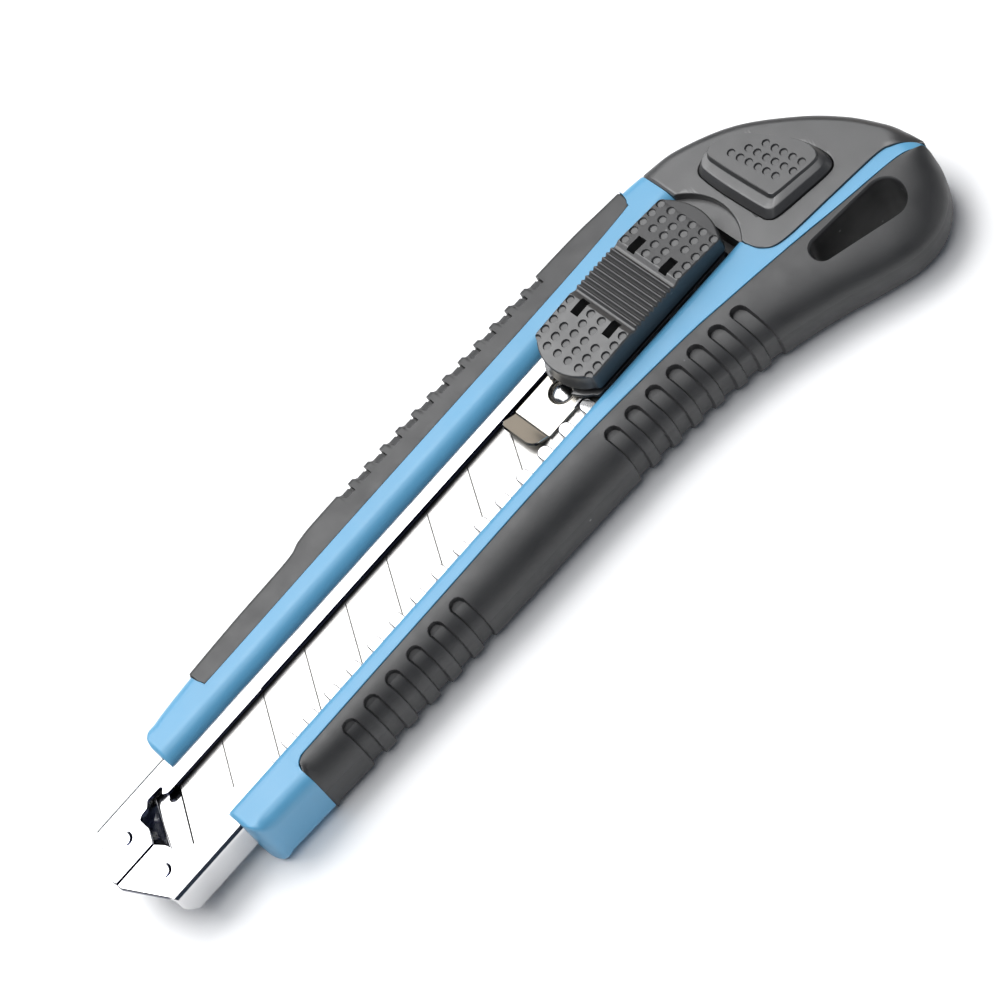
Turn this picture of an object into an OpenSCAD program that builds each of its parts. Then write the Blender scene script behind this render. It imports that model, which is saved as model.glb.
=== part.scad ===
// Snap-off utility knife for 18 mm blades, with an auto-lock thumb slider and a
// pull-out tail that carries spare blades.
// Every module is drawn along a station line: x runs from the nose tip to the tail,
// y to the spine side, z up to the slider side, with z = 0 on top of the channel's lips.
// place() moves the whole to the row's origin: on the underside, on the channel's
// centreline, at mid-length.

/* [Handle] */
// Overall length from the nose tip to the tail
knife_len = 177.5; // [177:0.5:180]
// Depth of the handle below the channel's lips
body_depth = 10.8; // [10.4:0.2:12]
// Height of the two rails above the channel's lips
rail_h = 2.3; // [2:0.1:2.6]
// Rounding of the handle's underside edge
bottom_round = 3.4; // [2:0.2:4]
// Rounding of the handle's top edge
top_round = 2.8; // [2:0.2:3.4]

/* [Blade channel] */
// Outer width of the steel channel
channel_w = 21.05; // [20.6:0.05:21.4]
// Outer depth of the steel channel
channel_h = 7.74; // [7.6:0.02:8]
// Thickness of the channel's sheet
sheet_t = 0.8; // [0.7:0.1:0.9]
// Clear width between the two lips
lip_gap = 9.1; // [8.8:0.1:9.3]
// Distance between two lock teeth
tooth_pitch = 5.21; // [5.1:0.01:5.3]

/* [Blades] */
// Width of a blade
blade_w = 18; // [17.6:0.1:18]
// Length of a blade along its cutting edge
blade_len = 104; // [100:1:104]
// Thickness of a blade
blade_t = 0.5; // [0.4:0.1:0.5]
// Length of one snap-off segment
segment_len = 10; // [9.5:0.1:10.1]

/* [Motion] */
// Lock teeth that the slider passes from rest to full extension
travel_teeth = 15; // [13:1:15]
// How far the thumb slider goes down to free the lock
press_travel = 1.0; // [0.6:0.1:1]
// How far the cap's release button goes down
button_travel = 1.2; // [0.8:0.1:1.2]

/* [Hidden] */

blue = [0.40, 0.68, 0.90];
rubber = [0.20, 0.20, 0.21];
plastic = [0.30, 0.30, 0.31];
steel = [0.80, 0.81, 0.82];
run_gap = 0.15;                   // clearance round pieces that slide
past = 160;                       // reach of a cutting solid past the handle
over = 1;                         // how far a cutting solid runs past what it cuts

// z levels
z_bottom = -body_depth;
z_floor = -channel_h + sheet_t;   // top of the channel's floor
z_blade = -1.25;                  // top of the blade in use
z_strap = -0.55;                  // top of the carrier strap
z_cap = rail_h + 0.4;             // top of the tail cap

// stations along the knife
front_x = 20.6;                   // handle's front face
channel_end = 145.2;
cap_x = 145.7;                    // tail cap's front face
tooth_x = 36.0;                   // first lock tooth
tooth_count = travel_teeth + 5;
tooth_top = -4.5;                 // y of the teeth's tops
blade_end_x = 16.6;               // blade's end line on the centreline
snap_tan = tan(30);               // lean of the snap lines
hole_back = 6.9;                  // from the blade's hole to its rear end
stud_x = blade_end_x - blade_w / 2 * snap_tan + blade_len - hole_back;
stud_r = 2.2;
lock_x = tooth_x + tooth_pitch * (travel_teeth + 2.5);
slider_x = [109.3, 145.6];        // ends of the thumb slider
slider_hw = 7.15;                 // half its width
slider_top = 6.5;                 // height of its ribbed middle
rib_x = [123.0, 131.8];
base_top = 0.85;                  // top of the slider base's flange
pad_z = base_top + press_travel + 0.1;    // underside of the thumb slider

// Plan curves, as points that a smooth line passes through.
belly_curve = [
    [20.6, 0], [20.6, -8], [20.8, -11], [21.8, -13.8], [24.4, -15.3], [32, -15.7], [45, -16.5],
    [68, -17.4], [90, -18], [107, -18.6], [124, -20.3], [138, -23.5], [149, -27.3],
    [158, -31], [163.4, -32.5], [168, -31.9], [172.2, -29.6], [175.2, -26.2], [177, -22]
];
spine_curve = [
    [177.5, -17.6], [176.2, -12.8], [173.6, -6.6], [169.3, 0.6], [162.2, 8.7], [154.2, 13.8],
    [146, 16.5], [138, 17.3], [122, 18], [72, 18.1], [62.5, 17.8], [58.5, 16.9], [45, 16.6],
    [32, 16], [24.4, 15.3], [21.8, 13.8], [20.8, 11], [20.6, 8]
];
belly_seam = [
    [34, -60], [34, -13.4], [34.5, -11.9], [36, -11.2], [68, -11], [100, -11], [125, -12.6],
    [138, -14.3], [149.6, -16.1], [160, -18], [168, -19.3], [172.3, -20.2], [174.6, -21.6],
    [178, -24.6]
];
spine_seam = [
    [34, 60], [34, 14.4], [34.6, 12.7], [36.4, 12], [70, 12.3], [120, 12.5], [138.6, 13.1],
    [140.6, 13.9], [141.2, 15.4], [141.3, 60]
];
cap_seam = [
    [cap_x, 60], [cap_x, 0], [cap_x, -9.4], [146.6, -12.4], [149.6, -14.6], [160, -15.7],
    [170.3, -16.7], [173, -17.7], [176, -20.6], [186, -33]
];

// ---------- helpers ----------

module place() {
    translate([-knife_len / 2, 0, body_depth]) children();
}

// A Catmull-Rom line through points p, with n steps from one to the next.
function catmull(a, b, c, d, t) = 0.5 * (2 * b + (c - a) * t
    + (2 * a - 5 * b + 4 * c - d) * t * t + (3 * b - a - 3 * c + d) * t * t * t);
function smooth_closed(p, n) = let (k = len(p)) [
    for (i = [0:k - 1], j = [0:n - 1])
        catmull(p[(i + k - 1) % k], p[i], p[(i + 1) % k], p[(i + 2) % k], j / n)
];
function smooth_open(p, n) = let (k = len(p)) concat([
    for (i = [0:k - 2], j = [0:n - 1])
        catmull(p[max(i - 1, 0)], p[i], p[i + 1], p[min(i + 2, k - 1)], j / n)
], [p[k - 1]]);
function unit(v) = v / norm(v);
// The outline moved inwards by d, for an outline that runs anticlockwise.
function inset(p, d) = let (k = len(p)) [
    for (i = [0:k - 1]) let (t = unit(p[(i + 1) % k] - p[(i + k - 1) % k]))
        p[i] + d * [-t[1], t[0]]
];
// How wide the handle's edge rounding is, as a share: narrow round the front face.
function softness(x) = lookup(x, [[25, 0.4], [42, 1]]);
function soft_inset(p, d) = let (q = inset(p, d)) [
    for (i = [0:len(p) - 1]) p[i] + softness(p[i][0]) * (q[i] - p[i])
];

// A slab over an outline, from z0 to z1, whose edges are rounded by r0 and r1.
// Its rings run a little past both flats, which a block then trims.
module rounded_slab(outline, z0, z1, r0, r1, steps = 4) {
    trim = 0.1;
    levels = concat(
        [[r0 + 3 * trim, z0 - trim]],
        [for (s = [1:steps]) let (a = 90 * s / steps) [r0 * (1 - sin(a)), z0 + r0 * (1 - cos(a))]],
        [for (s = [0:steps - 1]) let (a = 90 - 90 * s / steps)
            [r1 * (1 - sin(a)), z1 - r1 * (1 - cos(a))]],
        [[r1 + 3 * trim, z1 + trim]]
    );
    k = len(outline);
    rings = len(levels);
    points = [for (l = levels) for (q = soft_inset(outline, l[0])) [q[0], q[1], l[1]]];
    sides = [for (r = [0:rings - 2], i = [0:k - 1])
        [r * k + i, (r + 1) * k + i, (r + 1) * k + (i + 1) % k, r * k + (i + 1) % k]];
    intersection() {
        polyhedron(points = points, faces = concat([[for (i = [0:k - 1]) i]], sides,
            [[for (i = [k - 1:-1:0]) (rings - 1) * k + i]]), convexity = 8);
        block([-past, -past, z0], [2 * past, past, z1]);
    }
}

// An upright prism on a plan outline.
module prism(outline, z0, z1) {
    translate([0, 0, z0]) linear_extrude(z1 - z0) polygon(outline);
}

// A block given by its two corners.
module block(low, high) {
    translate(low) cube(high - low);
}

// A prism along y on an outline in x and z.
module side_prism(outline, half_w) {
    translate([0, half_w, 0]) rotate([90, 0, 0]) linear_extrude(2 * half_w) polygon(outline);
}

// A round-ended slot, from a to b.
module slot_cut(a, b, ra, rb, z0, z1) {
    d = b - a;
    lean = acos((ra - rb) / norm(d));
    turn = atan2(d[1], d[0]);
    function rim(c, r, s) = c + r * [cos(turn + s * lean), sin(turn + s * lean)];
    translate([a[0], a[1], z0]) cylinder(h = z1 - z0, r = ra, $fn = 48);
    translate([b[0], b[1], z0]) cylinder(h = z1 - z0, r = rb, $fn = 48);
    prism([rim(a, ra, -1), rim(b, rb, -1), rim(b, rb, 1), rim(a, ra, 1)], z0, z1);
}

// ---------- handle ----------

handle_outline = smooth_closed(concat(belly_curve, spine_curve), 3);
belly_region = concat(smooth_open([for (i = [1:len(belly_seam) - 1]) belly_seam[i]], 3),
    [[190, -30], [190, -60], [34, -60]]);
spine_region = concat([[34, 60]],
    smooth_open([for (i = [1:len(spine_seam) - 2]) spine_seam[i]], 3), [[141.3, 60]]);
cap_region = concat([[cap_x, 60]],
    smooth_open([for (i = [2:len(cap_seam) - 1]) cap_seam[i]], 3), [[190, -33], [190, 60]]);

module handle_form(top) {
    rounded_slab(handle_outline, z_bottom, top, bottom_round, top_round);
}

// Tapered hanging slot through the belly grip, with its ends' centres and radii.
hang_narrow = [152.2, -20.7];
hang_wide = [165.3, -23.5];
hang_narrow_r = 2;
hang_wide_r = 3.5;

module hang_slot() {
    slot_cut(hang_narrow, hang_wide, hang_narrow_r, hang_wide_r, z_bottom - over, rail_h + over);
}

// Section of the opening over the lips: its walls lean outwards up to the rails.
module rail_opening() {
    lean = 2;
    half = 7.3;
    translate([front_x - 1, 0, 0]) rotate([90, 0, 90]) linear_extrude(channel_end - front_x + 2)
        polygon([[-half, -0.01], [half, -0.01], [half + lean, rail_h + 0.01],
            [half + lean, rail_h + 1], [-half - lean, rail_h + 1], [-half - lean, rail_h + 0.01]]);
}

module handle_body() color(blue) place() difference() {
    handle_form(rail_h);
    prism(belly_region, z_bottom - over, rail_h + over);
    prism(spine_region, z_bottom - over, rail_h + over);
    prism(inset(cap_region, -run_gap), z_bottom - over, rail_h + over);
    block([front_x - 1, -channel_w / 2, -channel_h], [150, channel_w / 2, 0]);
    rail_opening();
    for (x = rivet_x) translate([x, 0, z_bottom - 1]) cylinder(h = 5, r = rivet_r, $fn = 32);
}

// Grooves that wrap round the belly grip, in two groups.
groove_x = concat([for (i = [0:5]) 43.8 + 5.18 * i], [for (i = [0:6]) 107.3 + 4.72 * i]);
groove_r = 1.1;
function belly_y(x) = lookup(x, [[34, -15.8], [68, -17.4], [107, -18.6], [124, -20.3], [138, -23.5]]);

module belly_grip() color(rubber) place() difference() {
    intersection() {
        handle_form(rail_h - 0.1);
        prism(belly_region, z_bottom - over, rail_h + over);
    }
    hang_slot();
    for (x = groove_x) translate([x, belly_y(x) - 0.2, z_bottom - 1])
        cylinder(h = body_depth + 0.2, r = groove_r, $fn = 24);
}

// Serrations along the spine grip.
serration_x = [for (i = [0:12]) 73 + 3.9 * i];
serration_w = 1.7;
serration_y = 17.2;               // bottom of a serration

module spine_grip() color(rubber) place() difference() {
    intersection() {
        handle_form(rail_h - 0.1);
        prism(spine_region, z_bottom - over, rail_h + over);
    }
    for (x = serration_x) block([x, serration_y, z_bottom - over],
        [x + serration_w, past, rail_h + over]);
}

// ---------- blade channel ----------

lip_out = channel_w / 2;
nose_shoulder = 5.2;              // station where the pointed nose meets the sides
window_end = 17;
tooth_r = 1.26;
tooth_base = -7.6;                // y of the gaps' bottoms
strip_x = 31.7;                   // where the toothed strip starts

module nose_point(z0, z1) {
    prism([[1.6, 0], [0.35, 1.5], [nose_shoulder, lip_out], [channel_end, lip_out],
        [channel_end, -lip_out], [nose_shoulder, -lip_out], [0.35, -1.5]], z0, z1);
}

module lip_window() {
    land = tooth_top + 0.2;
    prism([[9.1, 0], [10.6, 2.6], [10.7, 5], [11.2, 5.5], [12.9, 5.5], [13.8, 6.6], [16.6, 6.5],
        [window_end, 6.1], [16.4, 5], [window_end, lip_gap / 2], [40, lip_gap / 2],
        [40, tooth_top], [strip_x, tooth_top], [strip_x, -6.4], [31.4, -5.3], [30.5, -4.55],
        [29.4, land], [window_end, land], [window_end, -6.3], [16.2, -6.4], [13.4, -6.1],
        [12.4, -5.4], [10.9, -5.4], [10.5, -5.1], [10.6, -2.8], [10.3, -1.8]],
        -sheet_t - 0.2, 0.2);
}

// The strip of lip that the teeth are cut in, between and behind them.
module tooth_gaps() {
    last = tooth_x + tooth_pitch * (tooth_count - 1);
    difference() {
        block([strip_x, tooth_base, -sheet_t - 0.2], [last + tooth_pitch - tooth_r, tooth_top, 0.2]);
        for (i = [0:tooth_count - 1]) translate([tooth_x + tooth_pitch * i, 0, 0]) {
            translate([0, tooth_top - tooth_r, -1.2]) cylinder(h = 1.6, r = tooth_r, $fn = 32);
            block([-tooth_r, tooth_base - 1, -1.2], [tooth_r, tooth_top - tooth_r, 0.4]);
        }
    }
}

module blade_channel() color(steel) place() difference() {
    nose_point(-channel_h, 0);
    block([-1, -lip_out + sheet_t, z_floor], [past, lip_out - sheet_t, -sheet_t]);
    block([-1, -0.03, -sheet_t - 0.2], [9.2, 0.03, 0.2]);
    lip_window();
    block([39.9, tooth_top, -sheet_t - 0.2], [past, lip_gap / 2, 0.2]);
    tooth_gaps();
    // the floor stops short of the nose, and the sides' lower corners are cut off
    block([-1, -lip_out + sheet_t, -channel_h - 1], [9, lip_out - sheet_t, z_floor + 0.1]);
    side_prism([[-1, -2], [nose_shoulder, -4.4], [7.4, -channel_h], [7.4, -9], [-1, -9]], 20);
    for (x = rivet_x) translate([x, 0, -9]) cylinder(h = 4, r = rivet_r, $fn = 32);
    // two shallow dimples pressed in the nose
    for (y = [-4.9, 4.9]) translate([6.8, y, -0.15]) cylinder(h = 1, r = 1.25, $fn = 32);
}

// Tubular rivets that hold the channel's floor to the handle.
rivet_x = [52, 118];
rivet_r = 1.6;
rivet_head_r = 2.4;
rivet_bore_r = 0.9;

module channel_rivets() color(steel) place() for (x = rivet_x) translate([x, 0, 0]) difference() {
    union() {
        translate([0, 0, z_bottom + 0.2])
            cylinder(h = z_floor - z_bottom - 0.2, r = rivet_r - 0.02, $fn = 32);
        translate([0, 0, z_floor]) cylinder(h = 0.25, r = rivet_head_r, $fn = 32);
    }
    translate([0, 0, z_bottom - 1]) cylinder(h = 2.8, r = rivet_bore_r, $fn = 32);
}

// Bent sheet in the nose that the blade's end runs over. Its front edge leans like a snap line.
module nose_support() color(steel) place() {
    top = z_blade - blade_t - 0.08;
    t = 0.5;
    half = 7;
    front = [[14.3, half], [9.4, -half]];
    rear = [[20.4, -half], [20.4, half]];
    along = [0.9, 0];
    prism([front[0], front[1], rear[0], rear[1]], top - t, top);
    prism([front[0], front[1], front[1] + along, front[0] + along], z_floor, top - t);
    prism([front[0] + along, front[1] + along, rear[0], rear[1]], z_floor, z_floor + t);
}

// ---------- blades ----------

// A blade seen from above: the cutting edge is on the belly side, the ends lean 30 degrees.
blade_hole_r = 2.4;
snap_lines = 7;
snap_line_w = 0.3;
bevel_w = 2.4;                    // width of the ground bevel

module blade_plan(end_x, top) {
    half = blade_w / 2;
    tip = end_x - half * snap_tan;
    difference() {
        prism([[tip, -half], [tip + blade_len, -half], [tip + blade_len, half],
            [tip + 2 * half * snap_tan, half]], top - blade_t, top);
        translate([tip + blade_len - hole_back, 0, top - 2]) cylinder(h = 4, r = blade_hole_r, $fn = 32);
        // snap lines, pressed in the upper face
        for (i = [1:snap_lines]) let (x = end_x + segment_len * i, lean = half * snap_tan)
            prism([[x - lean, -half - 1], [x - lean + snap_line_w, -half - 1],
                [x + lean + snap_line_w, half + 1], [x + lean, half + 1]], top - 0.1, top + 1);
        // ground cutting edge, on both faces
        for (s = [0, 1]) translate([0, 0, (top - blade_t / 2) * 2 * s]) mirror([0, 0, s])
            translate([tip - 1, 0, top]) rotate([90, 0, 90]) linear_extrude(blade_len + 2)
                polygon([[-half - 1, 0.3], [-half - 1, -blade_t / 2 + 0.02],
                    [-half, -blade_t / 2 + 0.02], [-half + bevel_w, 0], [-half + bevel_w, 0.3]]);
    }
}

module blade() color(steel) place() blade_plan(blade_end_x, z_blade);

// ---------- carrier and slider ----------

strap_front = 97.7;

// Sheet-metal strap on top of the blade, with a tab bent up at its front end.
module carrier_strap() color(steel) place() {
    low = z_blade + 0.02;
    difference() {
        union() {
            block([101, -4.2, low], [143, 4.2, z_strap]);
            side_prism([[101.1, low], [101.1, z_strap], [100.2, z_strap + 0.2], [98.2, 0.95],
                [strap_front, 0.9], [strap_front, 0.35], [99.9, low + 0.15], [100.6, low]], 3.9);
        }
        translate([stud_x, 0, -3]) cylinder(h = 4, r = stud_r + 0.3, $fn = 48);
    }
}

// Plate below the blade, with a runner along each side of the channel.
module carrier_plate() color(steel) place() difference() {
    union() {
        half = 9.3;
        rear = 143.8;
        runner_y = 9.45;
        block([101.5, -half, z_blade - blade_t - 0.72], [rear, half, z_blade - blade_t - 0.02]);
        for (y = [-runner_y, runner_y]) block([116.5, y - 0.15, -3.9],
            [rear, y + 0.15, -sheet_t - run_gap]);
        block([120.5, -3.8, z_blade - blade_t - 0.1], [142, 3.8, z_blade + 0.02]);
    }
    translate([stud_x, 0, -3]) cylinder(h = 4, r = stud_r + 0.02, $fn = 48);
}

// Stud through the blade's hole, with a domed head in the strap's hole.
module carrier_stud() color(steel) place() {
    translate([stud_x, 0, z_blade - blade_t - 0.72])
        cylinder(h = blade_t + 1.2, r = stud_r, $fn = 48);
    translate([stud_x, 0, z_blade - 0.02]) rotate_extrude($fn = 48) intersection() {
        translate([0, -2.9]) circle(r = 3.75, $fn = 96);
        square([stud_r, 2]);
    }
}

// An arc of the given bulge across an end at x; side is 1 for the front end, -1 for the rear.
function bow(x, bulge, half, side) = let (r = (half * half + bulge * bulge) / (2 * bulge),
    a = asin(half / r), n = 8)
    [for (i = [-n:n]) [x + side * r * (1 - cos(a * i / n)), side * r * sin(a * i / n)]];
// Plan of the thumb slider: straight sides and bowed ends.
function slider_outline(front, back, half) = concat(
    [for (q = bow(front, 2.5, half - 0.9, 1)) [q[0], -q[1]]],
    [[front + 3.4, -half], [back - 2.8, -half]],
    [for (q = bow(back, 1.9, half - 0.9, -1)) [q[0], -q[1]]],
    [[back - 2.8, half], [front + 3.4, half]]);

// Moulded base below the thumb slider, with a stem through the gap between the lips.
module slider_base() color(plastic) place() difference() {
    union() {
        prism(slider_outline(108.4, 145.1, 6.9), run_gap, base_top);
        block([112, -3.7, z_strap], [142, 4.1, run_gap + 0.1]);
    }
    translate([stud_x, 0, -1]) cylinder(h = 4, r = stud_r + 0.4, $fn = 48);
}

// Slopes of the slider's two end pads, down from its ribbed middle.
front_slope = atan(0.75 / 11);
back_slope = atan(1.1 / 11);
rib_pitch = 0.97;

module thumb_slider() color(plastic) place() difference() {
    union() {
        intersection() {
            side_prism([[105, pad_z], [150, pad_z], [150, slider_top - 0.1 - tan(back_slope) * 18.2],
                [rib_x[1], slider_top - 0.1], [rib_x[0], slider_top - 0.1],
                [105, slider_top - 0.1 - tan(front_slope) * 18]], 10);
            prism(slider_outline(slider_x[0], slider_x[1], slider_hw), 0, 10);
        }
        for (i = [0:8]) translate([rib_x[0] + 0.5 + rib_pitch * i, 0, slider_top - 0.35])
            rotate([90, 0, 0]) cylinder(h = 2 * slider_hw - 0.2, r = 0.42, center = true, $fn = 16);
    }
    slider_dots();
    for (x = [120.3, 134.3], y = [-3.75, 3.75]) block([x - 1.6, y - 0.85, 3.6], [x + 1.6, y + 0.85, 8]);
}

// Round grip dimples: six rows on each end pad, with short rows where the slots are.
dot_pitch = 2.12;
dot_row_pitch = 2.5;
dot_r = 0.72;

module slider_dots() {
    for (c = [0:4], r = [0:5]) {
        y = dot_row_pitch * (r - 2.5);
        short_row = r == 1 || r == 4;
        xf = 111.9 + dot_pitch * c;
        xb = 142.6 - dot_pitch * c;
        if (!(short_row && c > 2)) {
            translate([xf, y, slider_top - 0.1 - tan(front_slope) * (rib_x[0] - xf)])
                cylinder(h = 0.5, r = dot_r, center = true, $fn = 24);
            translate([xb, y, slider_top - 0.1 - tan(back_slope) * (xb - rib_x[1])])
                cylinder(h = 0.5, r = dot_r, center = true, $fn = 24);
        }
    }
}

// Arched leaf that lifts the thumb slider off its base.
module slider_spring() color(steel) place() {
    rise = 0.8 * (pad_z - base_top - 0.06);
    span = 9;
    leaf = 0.18;
    steps = 12;
    arch = [for (i = [0:steps])
        [131 + span * i / steps, base_top + 0.02 + rise * sin(180 * i / steps)]];
    side_prism(concat(arch, [for (i = [steps:-1:0]) arch[i] + [0, leaf]]), 3);
}

// Leaf beside the base's stem. Its round bump springs in between two lock teeth.
module lock_leaf() color(steel) place() {
    low = z_strap + 0.02;
    high = -0.1;
    bump = 1;
    bump_y = bump - 5.9;
    block([107.5, -4.2, low], [140, -3.75, high]);
    translate([lock_x, bump_y, low]) cylinder(h = high - low, r = bump, $fn = 32);
    block([lock_x - bump, bump_y, low], [lock_x + bump, -4.1, high]);
}

// ---------- tail ----------

button_base = [[151, 5], [150.9, -8.4], [151.4, -10.2], [153, -11.3], [163.6, -13.1], [165.2, -12],
    [165.7, -10], [165.6, -6.5], [164.2, -1.8], [161.4, 3.8], [158.4, 6.9], [156, 8], [153, 7.6], [151.6, 6.7]];
button_pad = [[154.4, 5.6], [154.5, 0], [155.2, -8.9], [156, -9.5], [163.4, -11.1], [164.7, -10.5],
    [165, -8.4], [164.8, -6], [163.6, -2.1], [161, 3.1], [158.4, 5.9], [156.3, 6.6], [155, 6.4]];
shelf_z = 1.2;                    // floor of the recess behind the thumb slider
recess_r = 11.2;
screw_x = 140;                    // screws that hold the tray to the cap's tongue
screw_y = [-4, 4];
screw_r = 0.9;
pocket_z = z_bottom + 1.6;        // floor of the button's pocket
spring_top = z_cap - 1.4;         // roof of the hollow inside the button

module tail_cap() color(plastic) place() difference() {
    union() {
        intersection() {
            rounded_slab(handle_outline, z_bottom, z_cap, bottom_round, top_round);
            prism(cap_region, z_bottom - 1, z_cap + 1);
        }
        // tongue that slides into the channel and carries the tray
        block([137, -6, z_floor + 1.3], [cap_x + 1, 6, z_floor + 3.6]);
    }
    // recess round the slider's rear end
    translate([cap_x + 3.3 - recess_r, -0.6, shelf_z]) cylinder(h = 4, r = recess_r, $fn = 96);
    // pocket for the release button and its flange
    prism(inset(button_base, -1.2), pocket_z, z_cap - 1.6);
    prism(inset(button_base, -run_gap), z_cap - 2, z_cap + 1);
    screw_holes();
}

module screw_holes() {
    for (y = screw_y) translate([screw_x, y, -past]) cylinder(h = past, r = screw_r, $fn = 24);
}

module cap_button() color(plastic) place() difference() {
    union() {
        prism(button_base, z_cap - 2.2, z_cap + 0.9);
        prism(inset(button_base, -0.9), z_cap - 2.6, z_cap - 1.7);
        prism(button_pad, z_cap, z_cap + 2.3);
        // guide leg under the button's front, short of the pocket's floor by more than its travel
        block([152, -5, pocket_z + button_travel + 2.6], [154, 3, z_cap - 2]);
    }
    button_dots();
    translate([spring_at[0], spring_at[1], spring_top - 4]) cylinder(h = 4, r = 3.2, $fn = 48);
}

// Dimples on the button's pad: first and last column of each row, from the spine side.
module button_dots() {
    rows = [[0, 1], [0, 2], [0, 3], [0, 3], [0, 3], [0, 3], [1, 3]];
    for (r = [0:6], c = [0:2]) if (c >= rows[r][0] && c < rows[r][1])
        translate([156.7 + 0.12 * r + 2.1 * c, 2.9 - 1.93 * r, z_cap + 2.3])
            cylinder(h = 0.5, r = 0.62, center = true, $fn = 24);
}

// Coil spring under the release button.
spring_at = [159, -3];
coil_r = 2.3;
wire_r = 0.35;
function coil_ring(i, n, low, high) = let (a = 30 * i, z = low + (high - low) * i / n)
    [for (j = [0:7]) let (b = 45 * j, r = coil_r + wire_r * cos(b))
        [spring_at[0] + r * cos(a), spring_at[1] + r * sin(a), z + wire_r * sin(b)]];

module button_spring() color(steel) place() {
    n = 54;
    low = pocket_z + wire_r + 0.02;
    high = spring_top - wire_r - 0.02;
    points = [for (i = [0:n]) each coil_ring(i, n, low, high)];
    sides = [for (i = [0:n - 1], j = [0:7])
        [i * 8 + j, (i + 1) * 8 + j, (i + 1) * 8 + (j + 1) % 8, i * 8 + (j + 1) % 8]];
    polyhedron(points = points, faces = concat([[for (j = [0:7]) j]], sides,
        [[for (j = [7:-1:0]) n * 8 + j]]), convexity = 10);
}

tray_x = [30, 144.6];
tray_top = z_floor + 2.5;
spare_x = 36.7;                   // end line of the spare blades

// Open tray for two spare blades, screwed to the cap's tongue.
module spare_tray() color(plastic) place() difference() {
    half = 9.6;
    wall = 0.5;
    block([tray_x[0], -half, z_floor + run_gap], [tray_x[1], half, tray_top]);
    block([tray_x[0] + 1, wall - half, z_floor + 1.05], [136, half - wall, tray_top + 1]);
    block([135, -6.1, z_floor + 1.25], [tray_x[1] + 1, 6.1, tray_top + 1]);
    screw_holes();
    // groove that passes over the rivets' heads
    block([tray_x[0] - 1, -2.7, z_floor - 1], [tray_x[1] + 1, 2.7, z_floor + 0.4]);
}

module tray_screws() color(steel) place() for (y = screw_y) translate([screw_x, y, z_floor + 0.4])
    cylinder(h = 3.1, r = screw_r - 0.02, $fn = 24);

module spare_blade_upper() color(steel) place() blade_plan(spare_x, z_floor + 2.2);

module spare_blade_lower() color(steel) place() blade_plan(spare_x, z_floor + 1.65);

// ---------- assembly ----------

handle_body();
belly_grip();
spine_grip();
blade_channel();
channel_rivets();
nose_support();
blade();
carrier_strap();
carrier_plate();
carrier_stud();
slider_base();
thumb_slider();
slider_spring();
lock_leaf();
tail_cap();
cap_button();
button_spring();
spare_tray();
tray_screws();
spare_blade_upper();
spare_blade_lower();
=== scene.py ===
"""Looks of the snap-off utility knife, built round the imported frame."""
import math

import bmesh
import bpy
import numpy as np
from mathutils import Matrix, Vector


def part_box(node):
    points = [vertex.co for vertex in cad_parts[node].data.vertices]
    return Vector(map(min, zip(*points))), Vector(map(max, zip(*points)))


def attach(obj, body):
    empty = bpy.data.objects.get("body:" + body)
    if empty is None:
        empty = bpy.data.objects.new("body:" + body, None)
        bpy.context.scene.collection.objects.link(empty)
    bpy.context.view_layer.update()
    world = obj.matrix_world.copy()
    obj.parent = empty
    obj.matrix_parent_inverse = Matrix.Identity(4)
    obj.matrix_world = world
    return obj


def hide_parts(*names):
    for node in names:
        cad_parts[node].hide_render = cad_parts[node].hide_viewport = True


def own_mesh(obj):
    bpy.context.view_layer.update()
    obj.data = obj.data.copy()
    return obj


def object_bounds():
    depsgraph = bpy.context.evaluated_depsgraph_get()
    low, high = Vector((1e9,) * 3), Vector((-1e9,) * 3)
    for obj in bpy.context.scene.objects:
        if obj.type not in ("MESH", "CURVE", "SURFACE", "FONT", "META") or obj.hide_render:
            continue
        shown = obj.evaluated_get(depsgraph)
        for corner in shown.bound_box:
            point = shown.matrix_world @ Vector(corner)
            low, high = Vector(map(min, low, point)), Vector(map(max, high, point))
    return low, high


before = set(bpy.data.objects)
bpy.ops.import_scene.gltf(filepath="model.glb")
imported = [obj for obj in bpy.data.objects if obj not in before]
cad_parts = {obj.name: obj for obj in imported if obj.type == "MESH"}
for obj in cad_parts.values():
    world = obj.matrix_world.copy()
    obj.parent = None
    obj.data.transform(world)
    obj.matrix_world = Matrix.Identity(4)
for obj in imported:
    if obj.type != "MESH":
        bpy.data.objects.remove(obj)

CAD_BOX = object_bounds()
MM = 0.001

# ---- places, in mm
# Shapes are drawn at stations along the knife: x runs from the nose tip to the
# tail, y to the spine side, z up, with z = 0 on top of the channel's lips.
NOSE_TIP = 0.35  # station of the channel's first point
STATION_0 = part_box("blade_channel")[0].x / MM - NOSE_TIP
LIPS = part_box("blade_channel")[1].z / MM


def top_of(node):
    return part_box(node)[1].z / MM - LIPS


def bottom_of(node):
    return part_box(node)[0].z / MM - LIPS


def station_of(node, end):
    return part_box(node)[end].x / MM - STATION_0


UNDERSIDE = -LIPS
RAIL_TOP = top_of("handle_body")
GRIP_TOP = top_of("belly_grip")
CAP_TOP = RAIL_TOP + 0.4
CHANNEL_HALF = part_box("blade_channel")[1].y / MM
CHANNEL_LOW = bottom_of("blade_channel")
CHANNEL_END = station_of("blade_channel", 1)
FRONT_X = station_of("handle_body", 0)  # the handle's front face
GRIP_FRONT = station_of("belly_grip", 0)
CAP_X = CHANNEL_END + 0.5  # the tail cap's front face
SHEET = 0.8
BEND = 1.3  # outer radius of the channel's folds
LIP_EDGE = 0.22  # rounding of the lips' sheared edges
PARTING_Z = -3.6  # parting line round the belly grip

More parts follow.
